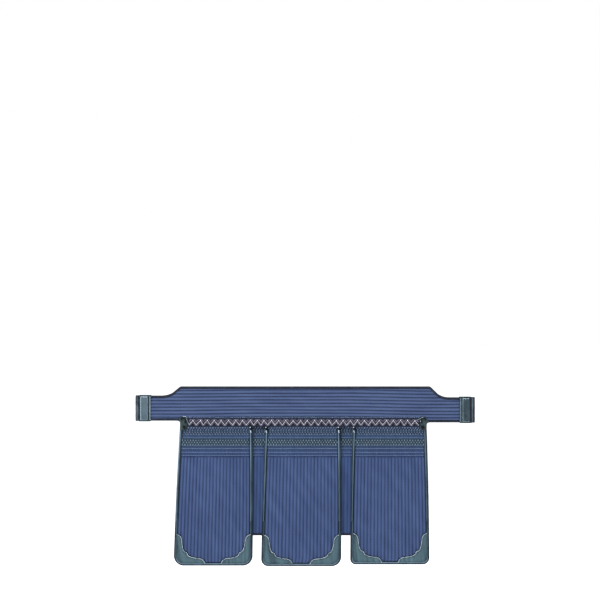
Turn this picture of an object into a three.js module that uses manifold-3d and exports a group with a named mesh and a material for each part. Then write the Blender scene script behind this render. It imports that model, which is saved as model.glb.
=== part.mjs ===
// Kendo waist protector (tare): a ridged padded belt with a leather tab and a folded
// strap at each end, three quilted front flaps laced under it, and two shorter rear
// flaps that close the gaps between them from behind.
// Millimetres. X runs along the belt, to the right seen from the front. Z is up and
// Y points at the wearer, so the front faces -Y. The origin is the middle of the
// belt's flat back.

import * as THREE from "three";
import { mergeVertices } from "three/addons/utils/BufferGeometryUtils.js";
import Module from "manifold-3d";

// Clearance between two pieces that touch
const CLEARANCE = 0.3;

// Belt
const SHOULDER_SPAN = 538;
const NECK_LENGTH = 63;
const BELT_HEIGHT = 73;
const NECK_HEIGHT = 54;
const TAPER_SLOPE_LENGTH = 14;
const TAPER_LENGTH = 42;
const BELT_RIDGE_PITCH = 7.15;
const STITCHED_STRIP_HEIGHT = 8.2;

// Belt ends: leather tab and folded waist strap
const TAB_WIDTH = 26;
const TAB_OVERHANG = 1;
const TAB_LEATHER = 1.5;
const STRAP_FOLD_LENGTH = 7.6;
const STRAP_THICKNESS = 3;
const STRAP_FOLD_GAP = 2.4;

// Flaps
const ROW_SETBACK = 6.7;
const FLAP_ROW_SHIFT = -4.45;
const FLAP_LENGTH = 312.8;
const FLAP_TOP_WIDTH = 158;
const FLAP_BOTTOM_WIDTH = 171;
const FLAP_SIDE_BULGE = 1.2;
const FLAP_THICKNESS = 7.5;
const FLAP_CORNER_RADIUS = 16;
const FLAP_BOW = 6;
const REAR_LENGTH = 247.7;
const REAR_TOP_WIDTH = 145;
const REAR_BOTTOM_WIDTH = 158;
const REAR_THICKNESS = 5.5;
const REAR_SETBACK = 0.7;

// Quilting
const RIB_PITCH = 7.5;
const RIB_RELIEF = 2;
const ROW_ZONE_HEIGHT = 77.6;

// Edge bindings and trims
const BINDING_WIDTH = 3;
const PIPING_WIDTH = 6;
const BINDING_PROUD = 0.6;
const PIPING_LENGTH = 216;
const LEATHER = 1.2;
const PATCH_REACH = 67.5;
const JOIN_HEIGHT = 16.2;
const JOIN_OVER_BELT = 3.4;
const SHOULDER_PATCH_WIDTH = 15;
const SHOULDER_PATCH_HEIGHT = 29;
const SHOULDER_PATCH_OVER_BELT = 8;
const SHOULDER_PATCH_WING = 6;
const THONG_DIAMETER = 2.6;
const KNOT_WIDTH = 6.4;
const KNOT_HEIGHT = 8.8;
const KNOT_DEPTH = 4.2;

// The front flaps. place counts flap pitches from the row's middle, top and bottom
// are shares of the flap widths, lean is the sideways drift of the bottom as a share
// of the bottom width, length is a share of the flap length, and leftCorner and
// rightCorner are shares of the corner radius.
const FRONT_FLAPS = [
  {
    name: "left",
    place: -1,
    top: 0.985,
    bottom: 0.9935,
    lean: -0.0418,
    length: 0.996,
    leftCorner: 1.33,
    rightCorner: 1.31,
  },
  {
    name: "centre",
    place: 0,
    top: 1.017,
    bottom: 1.0075,
    lean: -0.025,
    length: 1,
    leftCorner: 0.94,
    rightCorner: 1.27,
  },
  {
    name: "right",
    place: 1,
    top: 1,
    bottom: 0.9975,
    lean: -0.0018,
    length: 0.988,
    leftCorner: 0.73,
    rightCorner: 0.92,
  },
];

// The rear flaps, each behind a gap of the front row, in the same columns
const REAR_FLAPS = [
  {
    name: "left",
    place: -0.5,
    top: 1,
    bottom: 1,
    lean: -0.03,
    length: 1,
    leftCorner: 0.75,
    rightCorner: 0.75,
  },
  {
    name: "right",
    place: 0.5,
    top: 1,
    bottom: 1,
    lean: -0.016,
    length: 1,
    leftCorner: 0.75,
    rightCorner: 0.75,
  },
];

// How far each end of the belt hangs below the belt's straight lower edge
const END_DROPS = { left: 0.8, right: 4.5 };

// Raised stitched rows across the top of a flap, from and to as shares of the row
// zone measured down from the flap's top
const STITCHED_ROWS = [
  { from: 0, to: 0.245 },
  { from: 0.245, to: 0.4 },
  { from: 0.4, to: 0.5 },
  { from: 0.5, to: 0.7 },
  { from: 0.7, to: 0.81 },
  { from: 0.81, to: 0.92 },
  { from: 0.92, to: 1 },
];

// Heights down the ribbed part of a flap where its surface has a row of points, as
// shares of the length below the row zone
const RIB_LEVELS = [0.04, 0.3, 0.55, 0.78];

// A ridge rises from its groove to a flat crest between these two shares of its width
const CREST = { from: 0.28, to: 0.72 };

// A pad's rim is this share of its full thickness
const RIM_SHARE = 0.55;

// Depths of the layers
const FRONT_BACK = -(REAR_SETBACK + REAR_THICKNESS + CLEARANCE);
const BELT_THICKNESS = FLAP_THICKNESS - FRONT_BACK;
const TRIM_BACK = -(BELT_THICKNESS + BINDING_PROUD + CLEARANCE);
const TRIM_FRONT = TRIM_BACK - LEATHER;

// Heights and half lengths worked out from the driving sizes
const BELT_TOP = BELT_HEIGHT / 2;
const BELT_BOTTOM = -BELT_HEIGHT / 2;
const FLAP_TOP = BELT_BOTTOM - CLEARANCE;
const FLAP_PITCH = (SHOULDER_SPAN - FLAP_TOP_WIDTH - ROW_SETBACK) / 2;
const SHOULDER = SHOULDER_SPAN / 2;
const TAB_INNER = SHOULDER + NECK_LENGTH;
const TAB_OUTER = TAB_INNER + TAB_WIDTH;

const MATERIALS = {
  indigo: new THREE.MeshStandardMaterial({ color: 0x4a5c86, roughness: 0.9 }),
  binding: new THREE.MeshStandardMaterial({ color: 0x2a3350, roughness: 0.85 }),
  leather: new THREE.MeshStandardMaterial({ color: 0x50707a, roughness: 0.6 }),
  piping: new THREE.MeshStandardMaterial({ color: 0x4f626c, roughness: 0.5 }),
  lacing: new THREE.MeshStandardMaterial({ color: 0x4b3f58, roughness: 0.9 }),
  thong: new THREE.MeshStandardMaterial({ color: 0x1c2126, roughness: 0.5 }),
  strap: new THREE.MeshStandardMaterial({ color: 0x55626a, roughness: 0.9 }),
};

const wasm = await Module();
wasm.setup();

const tare = new THREE.Group();

function addPiece(name, geometry, material) {
  const mesh = new THREE.Mesh(geometry, material);
  mesh.name = name;
  tare.add(mesh);
}

// Solids from three.js geometry and back, for joins and cuts
function toSolid(geometry) {
  const bare = geometry.clone();
  bare.deleteAttribute("normal");
  bare.deleteAttribute("uv");
  const merged = mergeVertices(bare, 1e-4);
  return new wasm.Manifold(
    new wasm.Mesh({
      numProp: 3,
      vertProperties: new Float32Array(merged.attributes.position.array),
      triVerts: new Uint32Array(merged.index.array),
    }),
  );
}

function toGeometry(solid) {
  const mesh = solid.getMesh();
  const geometry = new THREE.BufferGeometry();
  geometry.setAttribute("position", new THREE.BufferAttribute(mesh.vertProperties, 3));
  geometry.setIndex(new THREE.BufferAttribute(mesh.triVerts, 1));
  return geometry;
}

// A geometry from triangles of Vector3, turned to face out if it came out reversed
function closedGeometry(triangles) {
  let volume = 0;
  for (const [a, b, c] of triangles) {
    volume += a.dot(new THREE.Vector3().crossVectors(b, c));
  }
  const points = triangles.flatMap(([a, b, c]) => (volume < 0 ? [a, c, b] : [a, b, c]));
  return new THREE.BufferGeometry().setFromPoints(points);
}

// How far a hanging flap has swung forward at a height: it grows as the square of the
// distance below the belt
function bowAt(z) {
  const fall = Math.max(0, FLAP_TOP - z) / FLAP_LENGTH;
  return FLAP_BOW * fall * fall;
}

function bend(geometry) {
  const position = geometry.attributes.position;
  for (let i = 0; i < position.count; i += 1) {
    position.setY(i, position.getY(i) - bowAt(position.getZ(i)));
  }
  return geometry;
}

// Distance along a polyline of each of its points, as shares of its whole length
function lengthShares(points) {
  const shares = [0];
  for (let i = 1; i < points.length; i += 1) {
    shares.push(shares[i - 1] + points[i].distanceTo(points[i - 1]));
  }
  return shares.map((distance) => distance / shares[points.length - 1]);
}

// Triangles between two polylines that run left to right, the first above the second.
// They may have different numbers of points.
function stitch(upper, lower) {
  const upperShares = lengthShares(upper);
  const lowerShares = lengthShares(lower);
  const triangles = [];
  let i = 0;
  let j = 0;
  while (i < upper.length - 1 || j < lower.length - 1) {
    const upperNext = i < upper.length - 1 ? upperShares[i + 1] : Infinity;
    const lowerNext = j < lower.length - 1 ? lowerShares[j + 1] : Infinity;
    if (upperNext <= lowerNext) {
      triangles.push([upper[i], lower[j], upper[i + 1]]);
      i += 1;
    } else {
      triangles.push([upper[i], lower[j], lower[j + 1]]);
      j += 1;
    }
  }
  return triangles;
}

// A pad from rows of front points and rows of back points, both from the top down
function padGeometry(front, back) {
  const triangles = [];
  for (let row = 1; row < front.length; row += 1) {
    triangles.push(...stitch(front[row - 1], front[row]));
  }
  const turned = back.map((points) => points.slice().reverse());
  for (let row = 1; row < turned.length; row += 1) {
    triangles.push(...stitch(turned[row - 1], turned[row]));
  }
  const leftEdge = (rows) => rows.map((points) => points[0]).reverse();
  const rightEdge = (rows) => rows.map((points) => points[points.length - 1]).reverse();
  triangles.push(...stitch(back[0], front[0]));
  triangles.push(...stitch(front[front.length - 1], back[back.length - 1]));
  triangles.push(...stitch(leftEdge(back), leftEdge(front)));
  triangles.push(...stitch(rightEdge(front), rightEdge(back)));
  return closedGeometry(triangles);
}

// Lower edge of the belt's narrow end on one side
function neckBottom(side) {
  return BELT_BOTTOM - (side < 0 ? END_DROPS.left : END_DROPS.right);
}

// The sides of a flap, which are a little fuller half way down. a is the height above
// its bottom edge, and inset moves the outline inwards all round.
function flapSides(flap, widths) {
  const length = widths.length * flap.length;
  const topCentre = FLAP_ROW_SHIFT + FLAP_PITCH * flap.place;
  const topHalf = (widths.top * flap.top) / 2;
  const bottomHalf = (widths.bottom * flap.bottom) / 2;
  const drift = widths.bottom * flap.bottom * flap.lean;
  const cornerRadius = (side) => {
    return FLAP_CORNER_RADIUS * (side < 0 ? flap.leftCorner : flap.rightCorner);
  };
  const edgeX = (side, a, inset) => {
    const rise = a / length;
    const centre = topCentre + drift * (1 - rise);
    const bulge = FLAP_SIDE_BULGE * 4 * rise * (1 - rise);
    const half = THREE.MathUtils.lerp(bottomHalf, topHalf, rise) + bulge - inset;
    const radius = Math.max(cornerRadius(side) - inset, 0.5);
    const under = Math.min(Math.max(radius - (a - inset), 0), radius);
    const pull = radius - Math.sqrt(radius * radius - under * under);
    return centre + side * (half - pull);
  };
  return { length, cornerRadius, edgeX, bottomZ: FLAP_TOP - length };
}

const FRONT_SIZE = {
  length: FLAP_LENGTH,
  top: FLAP_TOP_WIDTH,
  bottom: FLAP_BOTTOM_WIDTH,
  thickness: FLAP_THICKNESS,
  proud: BINDING_PROUD,
  back: FRONT_BACK,
};
const REAR_SIZE = {
  length: REAR_LENGTH,
  top: REAR_TOP_WIDTH,
  bottom: REAR_BOTTOM_WIDTH,
  thickness: REAR_THICKNESS,
  proud: 0,
  back: -REAR_SETBACK,
};

// Outer upper corners of the flap row
function topCorner(flap, side) {
  const sides = flapSides(flap, FRONT_SIZE);
  return sides.edgeX(side, sides.length, 0);
}
const rowEdge = {
  left: topCorner(FRONT_FLAPS[0], -1),
  right: topCorner(FRONT_FLAPS[FRONT_FLAPS.length - 1], 1),
};

// Points across a pad from its left to its right edge: share of the width, and
// fullness from 0 at a groove to 1 at a crest. A plain pad has only its rims.
function acrossProfile(ribs) {
  const points = [{ share: 0, rim: true, full: 0 }];
  if (ribs === 0) {
    points.push({ share: 0.04, full: 1 });
    points.push({ share: 0.96, full: 1 });
  }
  for (let rib = 0; rib < ribs; rib += 1) {
    points.push({ share: (rib + CREST.from) / ribs, full: 1 });
    points.push({ share: (rib + CREST.to) / ribs, full: 1 });
    if (rib < ribs - 1) {
      points.push({ share: (rib + 1) / ribs, full: 0 });
    }
  }
  points.push({ share: 1, rim: true, full: 0 });
  return points;
}

// Levels down a pad: height a above the flap's bottom, fullness of the level, and
// whether the vertical ribs show there. corner is the larger corner radius.
function padLevels(length, inset, corner) {
  const zone = ROW_ZONE_HEIGHT;
  const levels = [{ a: length, rim: true, full: 0, ribbed: false }];
  for (const row of STITCHED_ROWS) {
    const height = row.to - row.from;
    const down = [row.from + height * CREST.from, row.from + height * CREST.to, row.to];
    down.forEach((share, step) => {
      levels.push({ a: length - zone * share, full: step < 2 ? 1 : 0, ribbed: share === 1 });
    });
  }
  const below = length - zone - inset;
  for (const share of RIB_LEVELS) {
    levels.push({ a: inset + below * (1 - share), full: 1, ribbed: true });
  }
  const radius = corner - inset;
  for (const share of [1, 0.6, 0.3, 0.1]) {
    levels.push({ a: inset + radius * share, full: 1, ribbed: true });
  }
  levels.push({ a: inset, rim: true, full: 0, ribbed: true });
  return levels;
}

// Quilted pad of a flap: stitched rows across its top, and ribs below them if it has any
function flapPad(flap, size, edgeWidth) {
  const sides = flapSides(flap, size);
  const inset = edgeWidth + CLEARANCE;
  const ribs = size === FRONT_SIZE ? Math.round((size.bottom - 2 * inset) / RIB_PITCH) : 0;
  const plain = acrossProfile(0);
  const ribbed = acrossProfile(ribs);
  const front = [];
  const back = [];
  const corner = Math.max(sides.cornerRadius(-1), sides.cornerRadius(1));
  for (const level of padLevels(sides.length, inset, corner)) {
    const left = sides.edgeX(-1, level.a, inset);
    const right = sides.edgeX(1, level.a, inset);
    const z = sides.bottomZ + level.a;
    const backY = size.back - bowAt(z);
    const profile = level.ribbed ? ribbed : plain;
    front.push(
      profile.map((point) => {
        const full = Math.min(point.full, level.full);
        const rim = point.rim || level.rim;
        const depth = rim ? size.thickness * RIM_SHARE : size.thickness - RIB_RELIEF * (1 - full);
        const x = THREE.MathUtils.lerp(left, right, point.share);
        return new THREE.Vector3(x, backY - depth, z);
      }),
    );
    back.push([new THREE.Vector3(left, backY, z), new THREE.Vector3(right, backY, z)]);
  }
  return padGeometry(front, back);
}

// Points of a rectangle with bevelled corners, around a binding's centre line:
// n across the edge, t in depth behind 0
function bindingSection(width, depth) {
  const bevel = Math.min(width, depth) * 0.3;
  const half = width / 2;
  return [
    [half, -bevel],
    [half, bevel - depth],
    [half - bevel, -depth],
    [bevel - half, -depth],
    [-half, bevel - depth],
    [-half, -bevel],
    [bevel - half, 0],
    [half - bevel, 0],
  ];
}

// Carries a section along a path of points in the plane of the flaps, with flat ends.
// Each point has x and z, and the section's n runs along the path's left-hand normal.
function sweptBinding(path, section, backY, bowed) {
  const rings = path.map((point, i) => {
    const before = path[Math.max(i - 1, 0)];
    const after = path[Math.min(i + 1, path.length - 1)];
    const tangent = new THREE.Vector2(after.x - before.x, after.y - before.y).normalize();
    return section.map(([n, t]) => {
      const x = point.x - tangent.y * n;
      const z = point.y + tangent.x * n;
      const forward = bowed ? bowAt(z) : 0;
      return new THREE.Vector3(x, backY + t - forward, z);
    });
  });
  const triangles = [];
  for (let i = 1; i < rings.length; i += 1) {
    section.forEach((_, k) => {
      const next = (k + 1) % section.length;
      triangles.push([rings[i - 1][k], rings[i][k], rings[i - 1][next]]);
      triangles.push([rings[i][k], rings[i][next], rings[i - 1][next]]);
    });
  }
  const last = rings[rings.length - 1];
  for (let k = 1; k < section.length - 1; k += 1) {
    triangles.push([rings[0][0], rings[0][k], rings[0][k + 1]]);
    triangles.push([last[0], last[k + 1], last[k]]);
  }
  return closedGeometry(triangles);
}

// Heights above a flap's bottom, from its top down to a lowest one, at which its
// bindings have a ring of points
function bindingHeights(length, lowest) {
  const count = 6;
  return Array.from({ length: count + 1 }, (_, i) => {
    return THREE.MathUtils.lerp(length, lowest, i / count);
  });
}

// Leather piping down one side of a front flap
function flapPiping(flap, side) {
  const sides = flapSides(flap, FRONT_SIZE);
  const heights = bindingHeights(sides.length, sides.length - PIPING_LENGTH);
  const path = heights.map((a) => {
    return new THREE.Vector2(sides.edgeX(side, a, PIPING_WIDTH / 2), sides.bottomZ + a);
  });
  const section = bindingSection(PIPING_WIDTH, FLAP_THICKNESS + BINDING_PROUD);
  return sweptBinding(path, section, FRONT_BACK, true);
}

// Binding around the lower edge of a flap, from a height on its left side down around
// both corners to the same height on its right side
function hemBinding(flap, size, width, from) {
  const sides = flapSides(flap, size);
  const inset = width / 2;
  const halfPath = (side) => {
    const radius = sides.cornerRadius(side) - inset;
    const down = bindingHeights(from, inset + radius);
    const turn = [0.25, 0.5, 0.75, 1].map((share) => {
      return inset + radius * (1 - Math.sin((share * Math.PI) / 2));
    });
    return [...down, ...turn].map((a) => {
      return new THREE.Vector2(sides.edgeX(side, a, inset), sides.bottomZ + a);
    });
  };
  const path = [...halfPath(-1), ...halfPath(1).reverse()];
  const section = bindingSection(width, size.thickness + size.proud);
  return sweptBinding(path, section, size.back, true);
}

// Cloud-edged leather patch on a lower corner. Its scalloped edge is drawn in shares
// of the patch's reach from the corner, and is the same on both sides of the diagonal.
function cornerPatch(flap, side) {
  const sides = flapSides(flap, FRONT_SIZE);
  const radius = sides.cornerRadius(side);
  const at = (across, up) => {
    const a = up * PATCH_REACH;
    const edge = sides.edgeX(side, Math.max(a, radius), 0);
    return [edge - side * across * PATCH_REACH, sides.bottomZ + a];
  };
  const outline = new THREE.Shape();
  outline.moveTo(...at(0, 1.02));
  outline.quadraticCurveTo(...at(0.22, 1.0), ...at(0.245, 0.82));
  outline.quadraticCurveTo(...at(0.27, 0.53), ...at(0.35, 0.455));
  outline.lineTo(...at(0.425, 0.425));
  outline.lineTo(...at(0.455, 0.35));
  outline.quadraticCurveTo(...at(0.53, 0.27), ...at(0.82, 0.245));
  outline.quadraticCurveTo(...at(1.0, 0.22), ...at(1.02, 0));
  outline.lineTo(sides.edgeX(side, radius, 0) - side * radius, sides.bottomZ);
  for (const share of [0.25, 0.5, 0.75, 1]) {
    const a = radius * (1 - Math.cos((share * Math.PI) / 2));
    outline.lineTo(sides.edgeX(side, a, 0), sides.bottomZ + a);
  }
  return bend(frontPlate(outline, TRIM_BACK, LEATHER, 5));
}

// A flat plate whose outline is drawn as seen from the front
function frontPlate(outline, backY, thickness, curveSegments) {
  const plate = new THREE.ExtrudeGeometry(outline, {
    depth: thickness,
    bevelEnabled: false,
    curveSegments,
  });
  plate.rotateX(Math.PI / 2);
  plate.translate(0, backY, 0);
  return plate;
}

// The belt's upper edge from the middle out to one side, moved inwards by inset and
// ending at a half length
function beltTopEdge(side, inset, end) {
  const edge = new THREE.Path();
  const neckTop = neckBottom(side) + NECK_HEIGHT;
  const slopeDrop = (BELT_TOP - neckTop) * 0.58;
  edge.moveTo(0, BELT_TOP);
  edge.lineTo(SHOULDER, BELT_TOP);
  edge.lineTo(SHOULDER + TAPER_SLOPE_LENGTH, BELT_TOP - slopeDrop);
  const bottomX = SHOULDER + TAPER_SLOPE_LENGTH * 1.75;
  edge.quadraticCurveTo(bottomX, neckTop, SHOULDER + TAPER_LENGTH, neckTop);
  edge.lineTo(end, neckTop);
  const points = edge.getPoints(4);
  return points.map((point, i) => {
    const before = points[Math.max(i - 1, 0)];
    const after = points[Math.min(i + 1, points.length - 1)];
    const into = point.clone().sub(before).normalize();
    const out = after.clone().sub(point).normalize();
    const tangent = into.add(out).normalize();
    const step = inset / Math.cos(tangent.angleTo(i > 0 ? point.clone().sub(before) : tangent));
    return new THREE.Vector2(side * (point.x + tangent.y * step), point.y - tangent.x * step);
  });
}

// Belt pad: a ridged profile carried along the belt, cut to the belt's outline
function beltPad() {
  const padTop = BELT_TOP - BINDING_WIDTH - CLEARANCE;
  const front = -BELT_THICKNESS;
  const groove = front + RIB_RELIEF;
  const ridgesBottom = BELT_BOTTOM + STITCHED_STRIP_HEIGHT;
  const ridges = Math.round((BELT_TOP - ridgesBottom) / BELT_RIDGE_PITCH);
  const pitch = (BELT_TOP - ridgesBottom) / ridges;
  const lowest = Math.min(neckBottom(-1), neckBottom(1));
  const section = new THREE.Shape();
  section.moveTo(0, lowest);
  section.lineTo(0, BELT_TOP);
  section.lineTo(groove, BELT_TOP);
  for (let ridge = 0; ridge < ridges; ridge += 1) {
    const top = BELT_TOP - ridge * pitch;
    section.lineTo(front, top - pitch * CREST.from);
    section.lineTo(front, top - pitch * CREST.to);
    section.lineTo(groove, top - pitch);
  }
  section.lineTo(groove + RIB_RELIEF / 4, lowest);
  const end = TAB_OUTER - TAB_LEATHER - CLEARANCE;
  const prism = new THREE.ExtrudeGeometry(section, { depth: 2 * end, bevelEnabled: false });
  prism.translate(0, 0, -end);
  const along = new THREE.Vector3(1, 0, 0);
  const depth = new THREE.Vector3(0, 1, 0);
  const up = new THREE.Vector3(0, 0, 1);
  prism.applyMatrix4(new THREE.Matrix4().makeBasis(depth, up, along));

  const inset = BELT_TOP - padTop;
  const right = beltTopEdge(1, inset, end);
  const left = beltTopEdge(-1, inset, end).reverse();
  const outside = CLEARANCE * 2;
  const lower = [
    new THREE.Vector2(end, neckBottom(1) + inset),
    new THREE.Vector2(rowEdge.right + outside, neckBottom(1) + inset),
    new THREE.Vector2(rowEdge.right, BELT_BOTTOM),
    new THREE.Vector2(rowEdge.left, BELT_BOTTOM),
    new THREE.Vector2(rowEdge.left - outside, neckBottom(-1) + inset),
    new THREE.Vector2(-end, neckBottom(-1) + inset),
  ];
  const outline = new THREE.Shape([...left.slice(0, -1), ...right.slice(1), ...lower]);
  const rounding = RIB_RELIEF;
  const slab = new THREE.ExtrudeGeometry(outline, {
    depth: BELT_THICKNESS - rounding,
    bevelEnabled: true,
    bevelThickness: rounding,
    bevelSize: rounding,
    bevelOffset: -rounding,
    bevelSegments: 1,
  });
  slab.rotateX(Math.PI / 2);

  // Inside each tab the pad is pressed thinner, so its flat back ends short of the sleeve
  const pressed = new THREE.BoxGeometry(TAB_WIDTH + 2 * CLEARANCE, 2 * CLEARANCE, 2 * BELT_HEIGHT);
  let pad = toSolid(prism).intersect(toSolid(slab));
  for (const side of [-1, 1]) {
    const place = pressed.clone().translate((side * (TAB_INNER + TAB_OUTER)) / 2, 0, 0);
    pad = pad.subtract(toSolid(place));
  }
  return toGeometry(pad);
}

// Dark binding along the belt's top edge, down both tapers to the tabs
function beltTopBinding() {
  const end = TAB_INNER - CLEARANCE;
  const inset = BINDING_WIDTH / 2;
  const left = beltTopEdge(-1, inset, end).reverse();
  const right = beltTopEdge(1, inset, end);
  const section = bindingSection(BINDING_WIDTH, BELT_THICKNESS + BINDING_PROUD);
  return sweptBinding([...left.slice(0, -1), ...right.slice(1)], section, 0, false);
}

// Dark binding under one end of the belt, from the flap row's outer edge to the tab
function beltBottomBinding(side, edgeX) {
  const start = edgeX + side * CLEARANCE * 3;
  const z = neckBottom(side) + BINDING_WIDTH / 2;
  const path = [start, side * (TAB_INNER - CLEARANCE)].map((x) => new THREE.Vector2(x, z));
  const section = bindingSection(BINDING_WIDTH, BELT_THICKNESS + BINDING_PROUD);
  return sweptBinding(path, section, 0, false);
}

// Leather sleeve over one end of the belt, bent around it front to back
function endTab(side) {
  const inside = CLEARANCE;
  const wall = TAB_LEATHER;
  const front = -BELT_THICKNESS - inside - wall;
  const back = inside + wall;
  const sleeve = new THREE.Shape();
  const x = (distance) => side * (TAB_OUTER - distance);
  sleeve.moveTo(x(TAB_WIDTH), back);
  sleeve.lineTo(x(wall), back);
  sleeve.lineTo(x(0), back - wall);
  sleeve.lineTo(x(0), front + wall);
  sleeve.lineTo(x(wall), front);
  sleeve.lineTo(x(TAB_WIDTH), front);
  sleeve.lineTo(x(TAB_WIDTH), front + wall);
  sleeve.lineTo(x(wall), front + wall);
  sleeve.lineTo(x(wall), back - wall);
  sleeve.lineTo(x(TAB_WIDTH), back - wall);
  const height = NECK_HEIGHT + 2 * TAB_OVERHANG;
  const tab = new THREE.ExtrudeGeometry(sleeve, { depth: height, bevelEnabled: false });
  tab.translate(0, 0, neckBottom(side) - TAB_OVERHANG);
  return tab;
}

// Waist strap folded double against the end of a tab
function strapFold(side) {
  const inner = TAB_OUTER + CLEARANCE;
  const outer = TAB_OUTER + STRAP_FOLD_LENGTH;
  const halfGap = STRAP_FOLD_GAP / 2;
  const halfDepth = halfGap + STRAP_THICKNESS;
  const middle = -BELT_THICKNESS / 2;
  const bendX = outer - halfDepth;
  const fold = new THREE.Shape();
  fold.moveTo(side * inner, middle + halfDepth);
  fold.lineTo(side * bendX, middle + halfDepth);
  const turn = (radius, from, to) => {
    for (let step = 1; step <= 6; step += 1) {
      const angle = THREE.MathUtils.lerp(from, to, step / 6);
      fold.lineTo(side * (bendX + radius * Math.cos(angle)), middle + radius * Math.sin(angle));
    }
  };
  turn(halfDepth, Math.PI / 2, -Math.PI / 2);
  fold.lineTo(side * inner, middle - halfDepth);
  fold.lineTo(side * inner, middle - halfGap);
  fold.lineTo(side * bendX, middle - halfGap);
  turn(halfGap, -Math.PI / 2, Math.PI / 2);
  fold.lineTo(side * inner, middle + halfGap);
  const strap = new THREE.ExtrudeGeometry(fold, {
    depth: NECK_HEIGHT + TAB_OVERHANG,
    bevelEnabled: false,
  });
  strap.translate(0, 0, neckBottom(side) - TAB_OVERHANG / 2);
  return strap;
}

// Dark band over the seam between belt and flaps, which carries the zigzag lacing
function joinBand() {
  const clear = SHOULDER_PATCH_WIDTH + CLEARANCE;
  const left = rowEdge.left + clear;
  const right = rowEdge.right - clear;
  const top = BELT_BOTTOM + JOIN_OVER_BELT;
  const outline = new THREE.Shape();
  outline.moveTo(left, top);
  outline.lineTo(right, top);
  outline.lineTo(right, top - JOIN_HEIGHT);
  outline.lineTo(left, top - JOIN_HEIGHT);
  return frontPlate(outline, TRIM_BACK, LEATHER, 1);
}

// Leather reinforcement where the belt meets the outer edge of the flap row. A wing of
// it runs out under the end of the belt.
function shoulderPatch(side, edgeX) {
  const top = BELT_BOTTOM + SHOULDER_PATCH_OVER_BELT;
  const bottom = top - SHOULDER_PATCH_HEIGHT;
  const inner = edgeX - side * SHOULDER_PATCH_WIDTH;
  const corner = SHOULDER_PATCH_WIDTH / 4;
  const wingX = edgeX + side * SHOULDER_PATCH_WING;
  const wingZ = neckBottom(side);
  const outline = new THREE.Shape();
  outline.moveTo(edgeX, bottom);
  outline.lineTo(edgeX, wingZ - SHOULDER_PATCH_WING);
  outline.quadraticCurveTo(edgeX, wingZ, wingX, wingZ);
  outline.lineTo(edgeX - side * corner, top);
  outline.lineTo(inner + side * corner, top);
  outline.lineTo(inner, top - corner);
  outline.lineTo(inner, bottom + corner);
  outline.lineTo(inner + side * corner, bottom);
  return frontPlate(outline, TRIM_BACK, LEATHER, 4);
}

// Thong that arches over a shoulder patch, a bent cord with both legs down
function shoulderThong(side, edgeX) {
  const top = BELT_BOTTOM + SHOULDER_PATCH_OVER_BELT - THONG_DIAMETER;
  const leg = SHOULDER_PATCH_HEIGHT * 0.42;
  const y = TRIM_FRONT - CLEARANCE - THONG_DIAMETER / 2;
  const inward = (share) => edgeX - side * SHOULDER_PATCH_WIDTH * share;
  const route = new THREE.CatmullRomCurve3([
    new THREE.Vector3(inward(0.2), y, top - leg * 0.5),
    new THREE.Vector3(inward(0.24), y, top - leg * 0.12),
    new THREE.Vector3(inward(0.45), y, top),
    new THREE.Vector3(inward(0.7), y, top - leg * 0.15),
    new THREE.Vector3(inward(0.8), y, top - leg * 0.5),
    new THREE.Vector3(inward(0.7), y, top - leg),
  ]);
  const section = new THREE.Shape();
  section.absarc(0, 0, THONG_DIAMETER / 2, 0, 2 * Math.PI);
  return new THREE.ExtrudeGeometry(section, { extrudePath: route, steps: 12, curveSegments: 3 });
}

// A tied thong knot, a flattened bead in front of what it ties down
function knot(x, z, carrierY) {
  const bead = new THREE.SphereGeometry(0.5, 8, 6);
  bead.scale(KNOT_WIDTH, KNOT_DEPTH, KNOT_HEIGHT);
  bead.translate(x, carrierY - CLEARANCE - KNOT_DEPTH / 2, z);
  return bead;
}

// The belt
addPiece("belt_pad", beltPad(), MATERIALS.indigo);
addPiece("belt_top_binding", beltTopBinding(), MATERIALS.binding);
const ENDS = [
  { name: "left", side: -1, edgeX: rowEdge.left },
  { name: "right", side: 1, edgeX: rowEdge.right },
];
for (const end of ENDS) {
  const binding = beltBottomBinding(end.side, end.edgeX);
  addPiece(`belt_bottom_binding_${end.name}`, binding, MATERIALS.binding);
  addPiece(`end_tab_${end.name}`, endTab(end.side), MATERIALS.leather);
  addPiece(`strap_fold_${end.name}`, strapFold(end.side), MATERIALS.strap);
}
addPiece("join_band", joinBand(), MATERIALS.lacing);

// The front flaps
for (const flap of FRONT_FLAPS) {
  const name = `flap_${flap.name}`;
  addPiece(`${name}_pad`, flapPad(flap, FRONT_SIZE, PIPING_WIDTH), MATERIALS.indigo);
  addPiece(`${name}_piping_left`, flapPiping(flap, -1), MATERIALS.piping);
  addPiece(`${name}_piping_right`, flapPiping(flap, 1), MATERIALS.piping);
  const hemFrom = flapSides(flap, FRONT_SIZE).length - PIPING_LENGTH - CLEARANCE;
  const hem = hemBinding(flap, FRONT_SIZE, PIPING_WIDTH, hemFrom);
  addPiece(`${name}_hem_binding`, hem, MATERIALS.piping);
  addPiece(`${name}_corner_patch_left`, cornerPatch(flap, -1), MATERIALS.leather);
  addPiece(`${name}_corner_patch_right`, cornerPatch(flap, 1), MATERIALS.leather);
}

// The rear flaps
for (const flap of REAR_FLAPS) {
  const name = `rear_flap_${flap.name}`;
  addPiece(`${name}_pad`, flapPad(flap, REAR_SIZE, BINDING_WIDTH), MATERIALS.indigo);
  const hem = hemBinding(flap, REAR_SIZE, BINDING_WIDTH, REAR_LENGTH * flap.length);
  addPiece(`${name}_hem_binding`, hem, MATERIALS.binding);
}

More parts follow.
